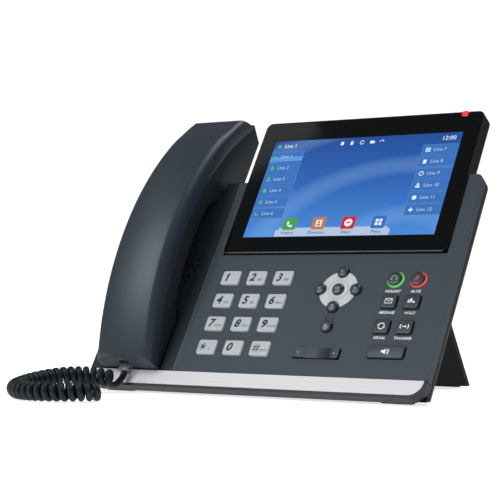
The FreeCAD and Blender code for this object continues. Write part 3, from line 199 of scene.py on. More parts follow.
def brushed_silver(name):
    """Silver strip brushed along its length: streaks in colour, sheen and height."""
    finish, tree, shader = new_finish(name)
    place = tree.nodes.new("ShaderNodeTexCoord")
    stretch = tree.nodes.new("ShaderNodeMapping")
    stretch.inputs["Scale"].default_value = (18, 2600, 2600)
    streaks = tree.nodes.new("ShaderNodeTexNoise")
    streaks.inputs["Scale"].default_value = 1
    streaks.inputs["Detail"].default_value = 5
    ramp = tree.nodes.new("ShaderNodeValToRGB")
    ramp.color_ramp.elements[0].position = 0.3
    ramp.color_ramp.elements[0].color = (0.60, 0.60, 0.62, 1)
    ramp.color_ramp.elements[1].position = 0.7
    ramp.color_ramp.elements[1].color = (0.70, 0.70, 0.72, 1)
    sheen = tree.nodes.new("ShaderNodeMapRange")
    sheen.inputs["To Min"].default_value = 0.34
    sheen.inputs["To Max"].default_value = 0.52
    bump = tree.nodes.new("ShaderNodeBump")
    bump.inputs["Strength"].default_value = 0.1
    bump.inputs["Distance"].default_value = 0.0001
    link = tree.links.new
    link(place.outputs["Object"], stretch.inputs["Vector"])
    link(stretch.outputs["Vector"], streaks.inputs["Vector"])
    link(streaks.outputs["Fac"], ramp.inputs["Fac"])
    link(streaks.outputs["Fac"], sheen.inputs["Value"])
    link(streaks.outputs["Fac"], bump.inputs["Height"])
    link(ramp.outputs["Color"], shader.inputs["Base Color"])
    link(sheen.outputs["Result"], shader.inputs["Roughness"])
    link(bump.outputs["Normal"], shader.inputs["Normal"])
    shader.inputs["Metallic"].default_value = 0.12
    shader.inputs["Specular IOR Level"].default_value = 0.3
    return finish


def glowing(name, color, strength, roughness=0.3):
    """A mark, lens or screen figure that gives its own light, faintly uneven as a light guide is; on printed
    white ink this glow is painted light.
    """
    finish = plastic(name, color, roughness, 900.0, 0.02, 0.1, 0.5)
    return tune(finish, {"Emission Color": (*color, 1), "Emission Strength": strength})


def lit_panel(finish):
    """A screen surface that gives its own light and reflects little."""
    return tune(finish, {"Base Color": (0.004, 0.004, 0.005, 1), "Emission Strength": 1.0, "Roughness": 0.2,
                         "Specular IOR Level": 0.15})


def lit_figure(name, color):
    """A figure of the lit screen: its own light, with a faint unevenness of the panel behind it."""
    finish, tree, shader = new_finish(name)
    detail = tree.nodes.new("ShaderNodeGroup")
    detail.node_tree = MOULDED
    detail.inputs["Color"].default_value = (*color, 1)
    detail.inputs["Grain size"].default_value = 900
    detail.inputs["Mottle"].default_value = 0.05
    tree.links.new(detail.outputs["Color"], shader.inputs["Emission Color"])
    return lit_panel(finish)


def screen_glass(name):
    """Black front glass with a faint smear on its sheen."""
    finish = plastic(name, (0.0020, 0.0022, 0.0024), 0.07, 240.0, 0.004, 0.05, 0.12, 0.25)
    return tune(finish, {"Coat Roughness": 0.03})


def wallpaper(name):
    """The lit screen: a blue that deepens upwards, with broad soft rings spreading from the lower right."""
    finish, tree, shader = new_finish(name)
    link = tree.links.new
    place = tree.nodes.new("ShaderNodeTexCoord")
    flat = tree.nodes.new("ShaderNodeMapping")
    flat.vector_type = "TEXTURE"
    flat.inputs["Location"].default_value = on_face(SCREEN_U, SCREEN_V, 0)
    flat.inputs["Rotation"].default_value = (FACE_TILT, 0, 0)
    flat.inputs["Scale"].default_value = (SCREEN_WIDE / 2 * MM, SCREEN_TALL / 2 * MM, 1)
    link(place.outputs["Object"], flat.inputs["Vector"])
    axes = tree.nodes.new("ShaderNodeSeparateXYZ")
    link(flat.outputs["Vector"], axes.inputs["Vector"])
    rise = tree.nodes.new("ShaderNodeMapRange")
    rise.inputs["From Min"].default_value = -1
    rise.inputs["From Max"].default_value = 1
    link(axes.outputs["Y"], rise.inputs["Value"])
    ramp = tree.nodes.new("ShaderNodeValToRGB")
    ramp.color_ramp.elements[0].color = (0.065, 0.25, 0.68, 1)
    ramp.color_ramp.elements[1].color = (0.014, 0.075, 0.32, 1)
    middle = ramp.color_ramp.elements.new(0.5)
    middle.color = (0.026, 0.13, 0.47, 1)
    link(rise.outputs["Result"], ramp.inputs["Fac"])
    rings = tree.nodes.new("ShaderNodeTexWave")
    rings.wave_type = "RINGS"
    rings.rings_direction = "Z"
    rings.inputs["Scale"].default_value = 0.32
    rings.inputs["Distortion"].default_value = 0.6
    rings.inputs["Detail"].default_value = 0
    shift = tree.nodes.new("ShaderNodeMapping")
    shift.inputs["Location"].default_value = (-0.7, 1.1, 0)
    link(flat.outputs["Vector"], shift.inputs["Vector"])
    link(shift.outputs["Vector"], rings.inputs["Vector"])
    soft = tree.nodes.new("ShaderNodeMapRange")
    soft.inputs["From Min"].default_value = 0.62
    soft.inputs["To Max"].default_value = 0.16
    link(rings.outputs["Fac"], soft.inputs["Value"])
    blend = tree.nodes.new("ShaderNodeMix")
    blend.data_type = "RGBA"
    blend.inputs["B"].default_value = (0.35, 0.62, 1.0, 1)
    link(soft.outputs["Result"], blend.inputs["Factor"])
    link(ramp.outputs["Color"], blend.inputs["A"])
    link(blend.outputs["Result"], shader.inputs["Emission Color"])
    return lit_panel(finish)


SLATE = plastic("slate_shell", (0.028, 0.041, 0.053), 0.5, 2400.0, 0.10, 0.05, 0.0, 0.42)
HANDSET_SLATE = plastic("handset_slate", (0.022, 0.032, 0.042), 0.42, 2400.0, 0.08, 0.05, 0.0, 0.5)
# Black plastic, its colour lowered further to paint the shade that falls on the stand
BLACK_WITH_PAINTED_SHADE = plastic("black_shell_darkened_for_shade", (0.005, 0.006, 0.007), 0.55, 1800.0, 0.18, 0.08, 0.0, 0.15)
TRIM = plastic("trim_dark", (0.009, 0.011, 0.013), 0.42, 2200.0, 0.12, 0.06, 0.0, 0.4)
# The panel's slate, darkened as painted shade for the cradle lying in the handset's shadow
SLATE_DARKENED_FOR_SHADE = plastic("slate_darkened_for_shade", (0.011, 0.015, 0.019), 0.55, 2000.0, 0.14, 0.06, 0.0, 0.3)
KEY_SLATE = plastic("function_key_slate", (0.016, 0.021, 0.027), 0.38, 2400.0, 0.06, 0.05, 0.1, 0.4)
PALE = plastic("pale_key", (0.47, 0.50, 0.53), 0.42, 2600.0, 0.05, 0.03, 0.1)
PALE_PLATE = plastic("pale_plate", (0.56, 0.59, 0.62), 0.36, 2600.0, 0.05, 0.03, 0.15)
CHARCOAL = plastic("charcoal_gloss", (0.022, 0.026, 0.031), 0.24, 2600.0, 0.03, 0.06, 0.4)
ROCKER = plastic("rocker_gloss", (0.006, 0.007, 0.009), 0.3, 2600.0, 0.02, 0.06, 0.1, 0.35)
SILVER = brushed_silver("brushed_strip")
GLASS = screen_glass("front_glass")
RUBBER = plastic("foot_rubber", (0.012, 0.012, 0.012), 0.8, 1200.0, 0.3, 0.15)
CORD = plastic("cord_jacket", (0.006, 0.008, 0.010), 0.45, 1500.0, 0.1, 0.08, 0.0, 0.3)
CLEAR = tune(plastic("clear_plug", (0.72, 0.75, 0.78), 0.06, 700.0, 0.02, 0.05, 0.6),
             {"Transmission Weight": 0.92})
STEEL = tune(plastic("plated_steel", (0.5, 0.5, 0.52), 0.3, 3000.0, 0.1, 0.05), {"Metallic": 1.0})
GOLD = tune(plastic("contact_gold", (0.75, 0.52, 0.18), 0.25, 3000.0, 0.05, 0.05), {"Metallic": 1.0})
BOARD = plastic("circuit_board", (0.02, 0.14, 0.06), 0.4, 1500.0, 0.1, 0.1)
MAT_GREY = plastic("keypad_rubber", (0.3, 0.3, 0.31), 0.6, 1500.0, 0.1, 0.06)
RED_LENS = glowing("red_lens", (0.75, 0.03, 0.035), 0.55)
GREEN_LENS = glowing("green_lens", (0.10, 0.48, 0.09), 0.2)
MUTE_LENS = glowing("mute_lens", (0.62, 0.05, 0.05), 0.2)
INK = plastic("key_ink", (0.006, 0.006, 0.007), 0.5, 2600.0, 0.03, 0.03)
# Printed white ink with a faint painted glow
WHITE_INK_PAINTED_GLOW = glowing("white_ink_painted_glow", (0.82, 0.84, 0.86), 0.15, 0.5)
GREY_INK = plastic("grey_ink", (0.42, 0.44, 0.46), 0.45, 2600.0, 0.03, 0.03)
# Pale grey for a painted highlight along the edge of the cradle seam
SEAM_PAINTED_HIGHLIGHT = plastic("seam_painted_highlight", (0.20, 0.22, 0.24), 0.35, 2600.0, 0.03, 0.05)
# Pale grey for a painted highlight along the lip under the glass
LIP_PAINTED_HIGHLIGHT = plastic("lip_painted_highlight", (0.22, 0.23, 0.24), 0.3, 2600.0, 0.03, 0.05)
WALLPAPER = wallpaper("screen_wallpaper")
TAB = lit_figure("screen_tab", (0.040, 0.165, 0.50))
TAB_LIT = lit_figure("screen_tab_chosen", (0.10, 0.32, 0.72))
TAB_EDGE = lit_figure("screen_tab_edge", (0.12, 0.31, 0.66))
DOCK = lit_figure("screen_dock", (0.45, 0.56, 0.74))
SCREEN_WHITE = lit_figure("screen_white", (0.80, 0.86, 0.94))
SCREEN_SOFT = lit_figure("screen_soft_white", (0.42, 0.58, 0.82))
SCREEN_GREEN = lit_figure("screen_green", (0.10, 0.55, 0.13))
SCREEN_INK = lit_figure("screen_ink", (0.01, 0.014, 0.02))


# CAD pieces, copied, merged, softened along their edges and given a finish

BODY_OF = {node: body for body, nodes in frame["record"]["behaviour"]["bodies"].items() for node in nodes}
SMOOTH_ANGLE = math.radians(32)
BEVEL_ANGLE = math.radians(40)
MERGE_ANGLE = math.radians(0.4)
WELD = 2e-6


def dress(node, finish, edge=0.0, flat=True):
    """A CAD piece's copy with merged faces and softened edges, in place of the CAD piece."""
    pick(frame["nodes"][node])
    bpy.ops.object.duplicate()
    piece = bpy.context.object
    piece.name = f"{node}_finished"
    piece.parent = None
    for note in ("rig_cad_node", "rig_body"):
        if note in piece:
            del piece[note]
    bpy.ops.object.mode_set(mode="EDIT")
    bpy.ops.mesh.select_all(action="SELECT")
    bpy.ops.mesh.remove_doubles(threshold=WELD)
    bpy.ops.mesh.dissolve_limited(angle_limit=MERGE_ANGLE)
    bpy.ops.object.mode_set(mode="OBJECT")
    if piece.data.has_custom_normals:
        bpy.ops.mesh.customdata_custom_splitnormals_clear()
    if edge:
        soften = piece.modifiers.new("soft_edges", "BEVEL")
        soften.width = edge * MM
        soften.segments = 3
        soften.limit_method = "ANGLE"
        soften.angle_limit = BEVEL_ANGLE
        bpy.ops.object.modifier_apply(modifier=soften.name)
    bpy.ops.object.shade_smooth_by_angle(angle=SMOOTH_ANGLE)
    if edge and flat:
        even = piece.modifiers.new("even_flats", "WEIGHTED_NORMAL")
        even.keep_sharp = True
        bpy.ops.object.modifier_apply(modifier=even.name)
    piece.data.materials.clear()
    piece.data.materials.append(finish)
    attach(piece, BODY_OF[node])
    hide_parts(node)
    return piece


BOW_RISE, BOW_LOW, BOW_HIGH, BOW_STRIPS = 3.0, 16, 200, 6


def bow_front(piece, centre, half):
    """Bows a front across its width, highest along its centre line and still at its two edges."""
    pick(piece)
    bpy.ops.object.mode_set(mode="EDIT")
    for step in range(1 - BOW_STRIPS, BOW_STRIPS):
        bpy.ops.mesh.select_all(action="SELECT")
        bpy.ops.mesh.bisect(plane_co=((centre + half * step / BOW_STRIPS) * MM, 0, 0), plane_no=(1, 0, 0))
    bpy.ops.mesh.select_all(action="DESELECT")
    bpy.ops.object.mode_set(mode="OBJECT")
    outward = (on_face(0, 0, 1) - on_face(0, 0, 0)).normalized()
    for corner in piece.data.vertices:
        climb = (FACE.inverted() @ corner.co).y
        corner.select = (abs(corner.co.x - centre * MM) < 1e-5 and corner.normal.dot(outward) > 0.5
                         and BOW_LOW < climb < BOW_HIGH)
    bpy.ops.object.mode_set(mode="EDIT")
    bpy.ops.transform.translate(value=outward * BOW_RISE * MM, use_proportional_edit=True,
                                proportional_edit_falloff="INVERSE_SQUARE", proportional_size=half * MM)
    bpy.ops.object.mode_set(mode="OBJECT")
    bpy.ops.object.shade_smooth_by_angle(angle=SMOOTH_ANGLE)


DIGITS = {"one": "1", "two": "2", "three": "3", "four": "4", "five": "5", "six": "6", "seven": "7",
          "eight": "8", "nine": "9", "star": "*", "zero": "0", "hash": "#"}
dress("front_panel", SLATE, 0.5)
dress("lower_trim", TRIM, 1.0)
dress("silver_band", SILVER, 0.15)
# The cradle takes the slate darkened as painted shade
dress("handset_cradle", SLATE_DARKENED_FOR_SHADE, 0.4)
dress("rear_housing", BLACK_WITH_PAINTED_SHADE, 1.2)
dress("screen_frame", BLACK_WITH_PAINTED_SHADE, 0.35)
dress("touch_glass", GLASS, 0.25)
dress("screen_back_cover", BLACK_WITH_PAINTED_SHADE)
dress("message_lamp", RED_LENS, 0.2)
dress("nav_plate", PALE_PLATE, 0.12)
dress("headset_light", GREEN_LENS, 0.1)
dress("mute_light", MUTE_LENS, 0.1)
# The stand takes the black plastic whose colour is darkened further as painted shade
dress("foot_stand", BLACK_WITH_PAINTED_SHADE, 1.0)
dress("rubber_feet", RUBBER, 0.3)
dress("housing_screws", STEEL, 0.2)
dress("connector_bay", BLACK_WITH_PAINTED_SHADE, 0.8)
for node in ("network_jacks", "cord_jacks", "power_jack", "hook_switch", "handset_socket",
             "handsfree_speaker", "microphone", "ear_receiver"):
    dress(node, BLACK_WITH_PAINTED_SHADE, 0.2)
shell = dress("handset_outer_shell", HANDSET_SLATE, 0.4, False)
bow_front(shell, HANDSET_U, HANDSET_WIDE / 2)
dress("handset_inner_shell", SLATE_DARKENED_FOR_SHADE, 1.0, False)
dress("handset_weight", STEEL)
dress("lcd_panel", BLACK_WITH_PAINTED_SHADE)
dress("keypad_mat", MAT_GREY)
dress("main_board", BOARD)
for word in DIGITS:
    dress(f"key_{word}", PALE)
for node in ("nav_up", "nav_down", "nav_left", "nav_right", "ok_key", "cancel_key", "headset_key",
             "mute_key"):
    dress(node, CHARCOAL)
for node in ("message_key", "hold_key", "redial_key", "transfer_key", "speaker_key"):
    dress(node, KEY_SLATE)
dress("volume_rocker", ROCKER, 0.4)
dress("cord_plug_handset", CLEAR, 0.3)
dress("cord_plug_base", CLEAR, 0.3)


# Flat marks laid on the face: legends, icons and the figures on the screen, in millimetres

ARC_STEP, ARC_LEAST_STEPS, MARK_WELD = 9, 6, 0.0005


def add_box(u, v, wide, tall, turn=0.0):
    """A flat bar."""
    bpy.ops.mesh.primitive_plane_add(size=1, location=(u, v, 0), rotation=(0, 0, turn))
    bpy.context.object.scale = (wide, tall, 1)
    return bpy.context.object


def add_line(u, v, to_u, to_v, thick):
    """A flat stroke between two places."""
    long = math.hypot(to_u - u, to_v - v)
    return add_box((u + to_u) / 2, (v + to_v) / 2, long + thick / 2, thick, math.atan2(to_v - v, to_u - u))


def add_disc(u, v, radius, sides=28):
    """A flat disc."""
    bpy.ops.mesh.primitive_circle_add(vertices=sides, radius=radius, fill_type="NGON", location=(u, v, 0))
    return bpy.context.object


def add_triangle(u, v, radius, turn):
    """A flat arrow head that points along an angle in degrees."""
    bpy.ops.mesh.primitive_circle_add(vertices=3, radius=radius, fill_type="NGON", location=(u, v, 0),
                                      rotation=(0, 0, math.radians(turn - 90)))
    return bpy.context.object


def add_arc(u, v, radius, thick, first, last):
    """A flat ring or part of one, between two angles in degrees, spun from a short edge."""
    bpy.ops.mesh.primitive_plane_add(size=thick, location=(0, 0, 0))
    ring = bpy.context.object
    bpy.ops.object.mode_set(mode="EDIT")
    bpy.ops.mesh.select_all(action="DESELECT")
    bpy.ops.object.mode_set(mode="OBJECT")
    for corner in ring.data.vertices:
        corner.select = corner.co.y < 0
    bpy.ops.object.mode_set(mode="EDIT")
    bpy.ops.mesh.delete(type="VERT")
    bpy.ops.mesh.select_all(action="SELECT")
    bpy.ops.transform.translate(value=(radius, -thick / 2, 0))
    steps = max(ARC_LEAST_STEPS, int(abs(last - first) / ARC_STEP))
    bpy.ops.mesh.spin(steps=steps, angle=math.radians(first - last), center=(0, 0, 0), axis=(0, 0, 1))
    bpy.ops.object.mode_set(mode="OBJECT")
    ring.rotation_euler.z = math.radians(first)
    ring.location = (u, v, 0)
    return ring


def add_words(text, u, v, size, slant=0.0, align="CENTER", weight=0.006):
    """Flat lettering."""
    bpy.ops.object.text_add(location=(u, v, 0))
    words = bpy.context.object
    words.data.body = text
    words.data.size = size
    words.data.shear = slant
    words.data.align_x = align
    words.data.align_y = "CENTER"
    words.data.resolution_u = 3
    words.data.offset = size * weight
    bpy.ops.object.convert(target="MESH")
    return bpy.context.object


MARKS = {"box": add_box, "line": add_line, "disc": add_disc, "triangle": add_triangle, "arc": add_arc,
         "words": add_words}


def mark(name, finish, body, level, shapes, thick=0.05):
    """One piece made of flat shapes, given a small thickness and laid on the face at a level."""
    made = []
    for kind, *sizes in shapes:
        deselect()
        made.append(MARKS[kind](*sizes))
    deselect()
    for part in made:
        part.select_set(True)
    bpy.context.view_layer.objects.active = made[0]
    bpy.ops.object.transform_apply(location=True, rotation=True, scale=True)
    if len(made) > 1:
        bpy.ops.object.join()
    piece = bpy.context.object
    piece.name = name
    bpy.ops.object.mode_set(mode="EDIT")
    bpy.ops.mesh.select_all(action="SELECT")
    bpy.ops.mesh.remove_doubles(threshold=MARK_WELD)
    bpy.ops.mesh.select_mode(type="FACE")
    bpy.ops.mesh.select_all(action="DESELECT")
    bpy.ops.object.mode_set(mode="OBJECT")
    for face in piece.data.polygons:
        face.select = face.normal.z < 0
    bpy.ops.object.mode_set(mode="EDIT")
    bpy.ops.mesh.flip_normals()
    bpy.ops.mesh.select_mode(type="VERT")
    bpy.ops.object.mode_set(mode="OBJECT")
    body_thick = piece.modifiers.new("thickness", "SOLIDIFY")
    body_thick.thickness = thick
    body_thick.offset = 1
    bpy.ops.object.modifier_apply(modifier=body_thick.name)
    piece.matrix_world = FACE @ Matrix.Translation((0, 0, level))
    bpy.ops.object.transform_apply(location=True, rotation=True, scale=True)
    piece.data.materials.clear()
    piece.data.materials.append(finish)
    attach(piece, body)
    return piece


def placed(shapes, u, v):
    """Shapes drawn about a middle, moved to a place on the face."""
    moved = []
    for kind, *sizes in shapes:
        if kind == "line":
            moved.append((kind, sizes[0] + u, sizes[1] + v, sizes[2] + u, sizes[3] + v, *sizes[4:]))
        elif kind == "words":
            moved.append((kind, sizes[0], sizes[1] + u, sizes[2] + v, *sizes[3:]))
        else:
            moved.append((kind, sizes[0] + u, sizes[1] + v, *sizes[2:]))
    return moved


# Dial keys: a slanted figure on the left and small letters on the right

FIGURE_U, FIGURE_SIZE, SLANT, FIGURE_WEIGHT = -3.2, 8.6, 0.22, 0.026
LETTERS_U, LETTERS_V, LETTERS_SIZE = 3.2, -1.7, 2.5
LETTERS = {"two": "ABC", "three": "DEF", "four": "GHI", "five": "JKL", "six": "MNO", "seven": "PQRS",
           "eight": "TUV", "nine": "WXYZ", "hash": "SEND"}
STAR_U, STAR_REACH, STAR_STROKE = -3.0, 2.6, 0.75
STAR = [("line", STAR_U - STAR_REACH * math.cos(turn), -STAR_REACH * math.sin(turn),
         STAR_U + STAR_REACH * math.cos(turn), STAR_REACH * math.sin(turn), STAR_STROKE)
        for turn in (0.35, 1.40, 2.44)]
STAR_DOT = ("disc", 2.4, -2.0, 0.5)
HASH_STROKE = 0.65
HASH = [("line", -3.3 + side, -2.7, -2.1 + side, 2.7, HASH_STROKE) for side in (-1.2, 1.2)]
HASH += [("line", -5.4, side, -0.2, side, HASH_STROKE) for side in (-1.0, 1.0)]
ONE_FLAG = ("line", -3.7, 1.3, -2.3, 2.7, 0.7)
DRAWN = {"star": STAR, "hash": HASH}
ADDED = {"star": [STAR_DOT], "one": [ONE_FLAG]}
for count, word in enumerate(DIGITS):
    typed = ("words", DIGITS[word], FIGURE_U, 0, FIGURE_SIZE, SLANT, "CENTER", FIGURE_WEIGHT)
    legend = DRAWN.get(word, [typed]) + ADDED.get(word, [])
    if word in LETTERS:
        legend = legend + [("words", LETTERS[word], LETTERS_U, LETTERS_V, LETTERS_SIZE, SLANT, "CENTER", 0.0)]
    u = KEY_U + KEY_STEP_U * (count % 3)
    v = KEY_V - KEY_STEP_V * (count // 3)
    mark(f"legend_{word}", INK, f"key_{word}_body", KEY_TOP, placed(legend, u, v))


# Function keys: an icon on each and a word under each

STROKE = 0.4
ENVELOPE_HALF, ENVELOPE_RISE = 2.6, 1.7
ENVELOPE = [("line", -ENVELOPE_HALF, rise, ENVELOPE_HALF, rise, STROKE)
            for rise in (ENVELOPE_RISE, -ENVELOPE_RISE)]
ENVELOPE += [("line", side, -ENVELOPE_RISE, side, ENVELOPE_RISE, STROKE)
             for side in (-ENVELOPE_HALF, ENVELOPE_HALF)]
ENVELOPE += [("line", side, 1.6, 0, -0.3, STROKE) for side in (-ENVELOPE_HALF, ENVELOPE_HALF)]
HELD_CALL = [("box", -2.4, 0, 0.7, 2.6), ("box", -1.1, 0, 0.7, 2.6), ("arc", 1.6, 1.4, 2.1, 0.8, 185, 280),
             ("disc", -0.35, 1.5, 0.7), ("disc", 1.9, -0.7, 0.7)]
CIRCLING_ARROWS = [("arc", 0, 0, 2.2, 0.6, 20, 160), ("arc", 0, 0, 2.2, 0.6, 200, 340),
                   ("triangle", -2.2, 0.5, 0.95, 270), ("triangle", 2.2, -0.5, 0.95, 90)]
PASSED_CALL = [("arc", -1.2, 0, 1.9, 0.6, 125, 235), ("arc", 1.2, 0, 1.9, 0.6, -55, 55),
               ("line", -1.6, 0, 0.4, 0, 0.5), ("triangle", 0.9, 0, 1.0, 0)]
LOUDSPEAKER = [("box", -2.6, 0, 1.4, 1.8), ("triangle", -1.2, 0, 2.3, 180)]
LOUDSPEAKER += [("arc", -1.0, 0, reach, 0.45, -40, 40) for reach in (2.3, 3.4)]
HEADSET = [("arc", 0, -0.2, 1.9, 0.5, -10, 190), ("box", -1.9, -0.9, 0.9, 1.6), ("box", 1.9, -0.9, 0.9, 1.6)]
CROSSED_MICROPHONE = [("box", 0, 0.6, 1.1, 2.2), ("arc", 0, 0.3, 1.4, 0.35, 190, 350),
                      ("line", 0, -1.1, 0, -2.0, STROKE), ("line", -1.7, -1.8, 1.7, 2.0, 0.35)]
LAST_U = SWITCH_U + SWITCH_STEP
LIT_SHIFT = 0.8
ICONS = {
    "message_key": (ENVELOPE, WHITE_INK_PAINTED_GLOW, SWITCH_U, TOP_ROW),
    "hold_key": (HELD_CALL, WHITE_INK_PAINTED_GLOW, LAST_U, TOP_ROW),
    "redial_key": (CIRCLING_ARROWS, WHITE_INK_PAINTED_GLOW, SWITCH_U, LOW_ROW),
    "transfer_key": (PASSED_CALL, WHITE_INK_PAINTED_GLOW, LAST_U, LOW_ROW),
    "speaker_key": (LOUDSPEAKER, WHITE_INK_PAINTED_GLOW, SWITCH_U + SWITCH_STEP / 2, SPEAKER_ROW),
    "headset_key": (HEADSET, GREEN_LENS, SWITCH_U - LIT_SHIFT, LIT_ROW + LIT_SHIFT),
    "mute_key": (CROSSED_MICROPHONE, MUTE_LENS, LAST_U - LIT_SHIFT, LIT_ROW + LIT_SHIFT),
}
# The white icons are printed ink with a faint painted glow
for key, (shapes, finish, u, v) in ICONS.items():
    mark(f"icon_{key}", finish, f"{key}_body", KEY_TOP, placed(shapes, u, v))
LABEL_SIZE, LABEL_SLANT, LABEL_WEIGHT = 2.8, 0.2, 0.02
LABELS = [(79.4, "HEADSET", "MUTE"), (62.8, "MESSAGE", "HOLD"), (43.4, "REDIAL", "TRANSFER")]
# The printed labels are white ink with a faint painted glow
mark("panel_labels", WHITE_INK_PAINTED_GLOW, "base", 0,
     [("words", text, u, v, LABEL_SIZE, LABEL_SLANT, "CENTER", LABEL_WEIGHT)
      for v, *pair in LABELS for u, text in zip((SWITCH_U, LAST_U), pair)])


# Navigation keys, rocker, the panel's fine lines and painted edge highlights

HAIRLINE = 0.03
for name, turn in (("nav_right", 0), ("nav_up", 90), ("nav_left", 180), ("nav_down", 270)):
    u = NAV_U + NAV_REACH * math.cos(math.radians(turn))
    v = NAV_V + NAV_REACH * math.sin(math.radians(turn))
    mark(f"arrow_{name}", GREY_INK, f"{name}_body", DOME_TOP, [("triangle", u, v, 1.0, turn)])
mark("word_ok", GREY_INK, "ok_key_body", DOME_TOP, [("words", "OK", NAV_U, NAV_V, 2.6, 0.15)])
CROSS_HALF = 0.9
CROSS = [("line", -CROSS_HALF, -rise, CROSS_HALF, rise, STROKE) for rise in (CROSS_HALF, -CROSS_HALF)]
mark("cross_cancel", GREY_INK, "cancel_key_body", DOME_TOP, placed(CROSS, NAV_U, CANCEL_V))
CANCEL_LINES = [("line", side * 3.1, 3.9, side * 2.4, 11.7, 0.35) for side in (-1, 1)]
mark("cancel_lines", BLACK_WITH_PAINTED_SHADE, "base", 0, placed(CANCEL_LINES, NAV_U, CANCEL_V), HAIRLINE)
# A painted highlight: a pale strip along the seam, where its bevel catches the light
SEAM_U, SEAM_LOW, SEAM_HIGH = -62.95, 14, 108
mark("seam_highlight_strip", SEAM_PAINTED_HIGHLIGHT, "base", 0, [("line", SEAM_U, SEAM_LOW, SEAM_U, SEAM_HIGH, 0.22)], HAIRLINE)
SIGN_LONG = 1.8
mark("rocker_signs", GREY_INK, "rocker", ROCKER_TOP,
     [("box", ROCKER_MINUS_U, ROCKER_V, SIGN_LONG, STROKE),
      ("box", ROCKER_PLUS_U, ROCKER_V, SIGN_LONG, STROKE),
      ("box", ROCKER_PLUS_U, ROCKER_V, STROKE, SIGN_LONG)])
# A painted highlight: a pale strip along the glass's lower lip, where its edge catches the light
LIP_LEFT, LIP_RIGHT, LIP_V = -52, 122, 110.2
mark("glass_lip_highlight_strip", LIP_PAINTED_HIGHLIGHT, "base", GLASS_TOP,
     [("line", LIP_LEFT, LIP_V, LIP_RIGHT, LIP_V, 0.3)], HAIRLINE)


# Screen figures, in thin layers over the picture

FILM = 0.02
TAB_LAYER, CHOSEN_LAYER, NAME_LAYER, SIGN_LAYER, APP_LAYER, CUT_LAYER = 0.03, 0.05, 0.06, 0.07, 0.08, 0.10


def on_screen(name, finish, layer, shapes):
    """Figures of one finish in one layer over the screen's picture."""
    mark(name, finish, "base", GLASS_TOP + layer, shapes, FILM)


mark("screen_picture", WALLPAPER, "base", GLASS_TOP,
     [("box", SCREEN_U, SCREEN_V, SCREEN_WIDE, SCREEN_TALL)], HAIRLINE)
SCREEN_LEFT = SCREEN_U - SCREEN_WIDE / 2
SCREEN_RIGHT = SCREEN_U + SCREEN_WIDE / 2
TAB_WIDE, TAB_TALL, TAB_PITCH, TAB_TOP, TAB_RIM = 28.0, 8.8, 10.2, 28.6, 0.22
LEFT_TAB, RIGHT_TAB = SCREEN_LEFT + TAB_WIDE / 2, SCREEN_RIGHT - TAB_WIDE / 2
ROWS = [SCREEN_V + TAB_TOP - TAB_PITCH * step for step in range(6)]
on_screen("screen_tabs", TAB, TAB_LAYER,
          [("box", u, v, TAB_WIDE, TAB_TALL) for v in ROWS for u in (LEFT_TAB, RIGHT_TAB)])
on_screen("screen_tab_chosen", TAB_LIT, CHOSEN_LAYER,
          [("box", LEFT_TAB, ROWS[0] - TAB_TALL / 4, TAB_WIDE, TAB_TALL / 2)])
rims = []
for v in ROWS:
    for u, inner in ((LEFT_TAB, LEFT_TAB + TAB_WIDE / 2), (RIGHT_TAB, RIGHT_TAB - TAB_WIDE / 2)):
        rims += [("box", u, v + TAB_TALL / 2, TAB_WIDE, TAB_RIM),
                 ("box", u, v - TAB_TALL / 2, TAB_WIDE, TAB_RIM),
                 ("box", inner, v, TAB_RIM, TAB_TALL)]
on_screen("screen_tab_edges", TAB_EDGE, SIGN_LAYER, rims)
DOCK_U, DOCK_V = 31, SCREEN_V - SCREEN_TALL / 2 + 4
DOCK_SHAPE = [("box", 0, -1, 93, 5.6), ("box", 0, 2.6, 88, 1.8)]
on_screen("screen_dock", DOCK, TAB_LAYER, placed(DOCK_SHAPE, DOCK_U, DOCK_V))

SIGN_IN, WORDS_IN, WORDS_SIZE = 4.6, 9, 4.0
RIGHT_EDGE = SCREEN_RIGHT - TAB_WIDE
on_screen("screen_tab_words", SCREEN_SOFT, SIGN_LAYER,
          [("words", f"Line {first + step}", edge + WORDS_IN, v, WORDS_SIZE, 0.0, "LEFT")
           for first, edge in ((1, SCREEN_LEFT), (7, RIGHT_EDGE)) for step, v in enumerate(ROWS)])
KEYPAD = [("box", across, up, 1.0, 1.0) for across in (-1.3, 0, 1.3) for up in (-1.3, 0, 1.3)]
PAGE = [("box", 0, 0, 2.6, 3.4)]
RING = [("arc", 0, 0, 1.6, 0.6, 0, 360)]
WIDE_PERSON = [("disc", 0, 1, 1.0), ("box", 0, -1, 3.4, 1.4)]
DOT = [("disc", 0, 0, 1.8)]
PLUS = [("box", 0, 0, 3.6, 1.0), ("box", 0, 0, 1.0, 3.6)]
CALL = [("arc", 0, 0, 1.4, 0.8, 120, 340)]
PERSON = [("disc", 0, 1, 1.0), ("box", 0, -1, 3.2, 1.3)]
CARD = [("box", 0, 0, 2.4, 3.2)]
SQUARE = [("box", 0, 0, 2.6, 2.6)]
STATUS_V = SCREEN_V + 38.2
STATUS = [("box", 17, 0, 2.4, 3.0), ("box", 25, -0.6, 2.2, 2.2), ("arc", 25, 0.6, 1.0, 0.5, 0, 180),
          ("arc", 33.4, 0, 1.5, 0.6, 20, 340), ("disc", 41.2, 0, 1.4), ("disc", 43, -0.3, 1.1),
          ("arc", 49.6, -0.4, 1.6, 0.6, 10, 170)]
signs = [("words", "12:00", SCREEN_RIGHT - 9.5, STATUS_V, 5.0),
         ("words", "Line 1", SCREEN_LEFT + WORDS_IN, STATUS_V, 4.4, 0.0, "LEFT")]
for sign, v in zip((KEYPAD, PAGE, RING, WIDE_PERSON, DOT, PLUS), ROWS):
    signs += placed(sign, RIGHT_EDGE + SIGN_IN, v)
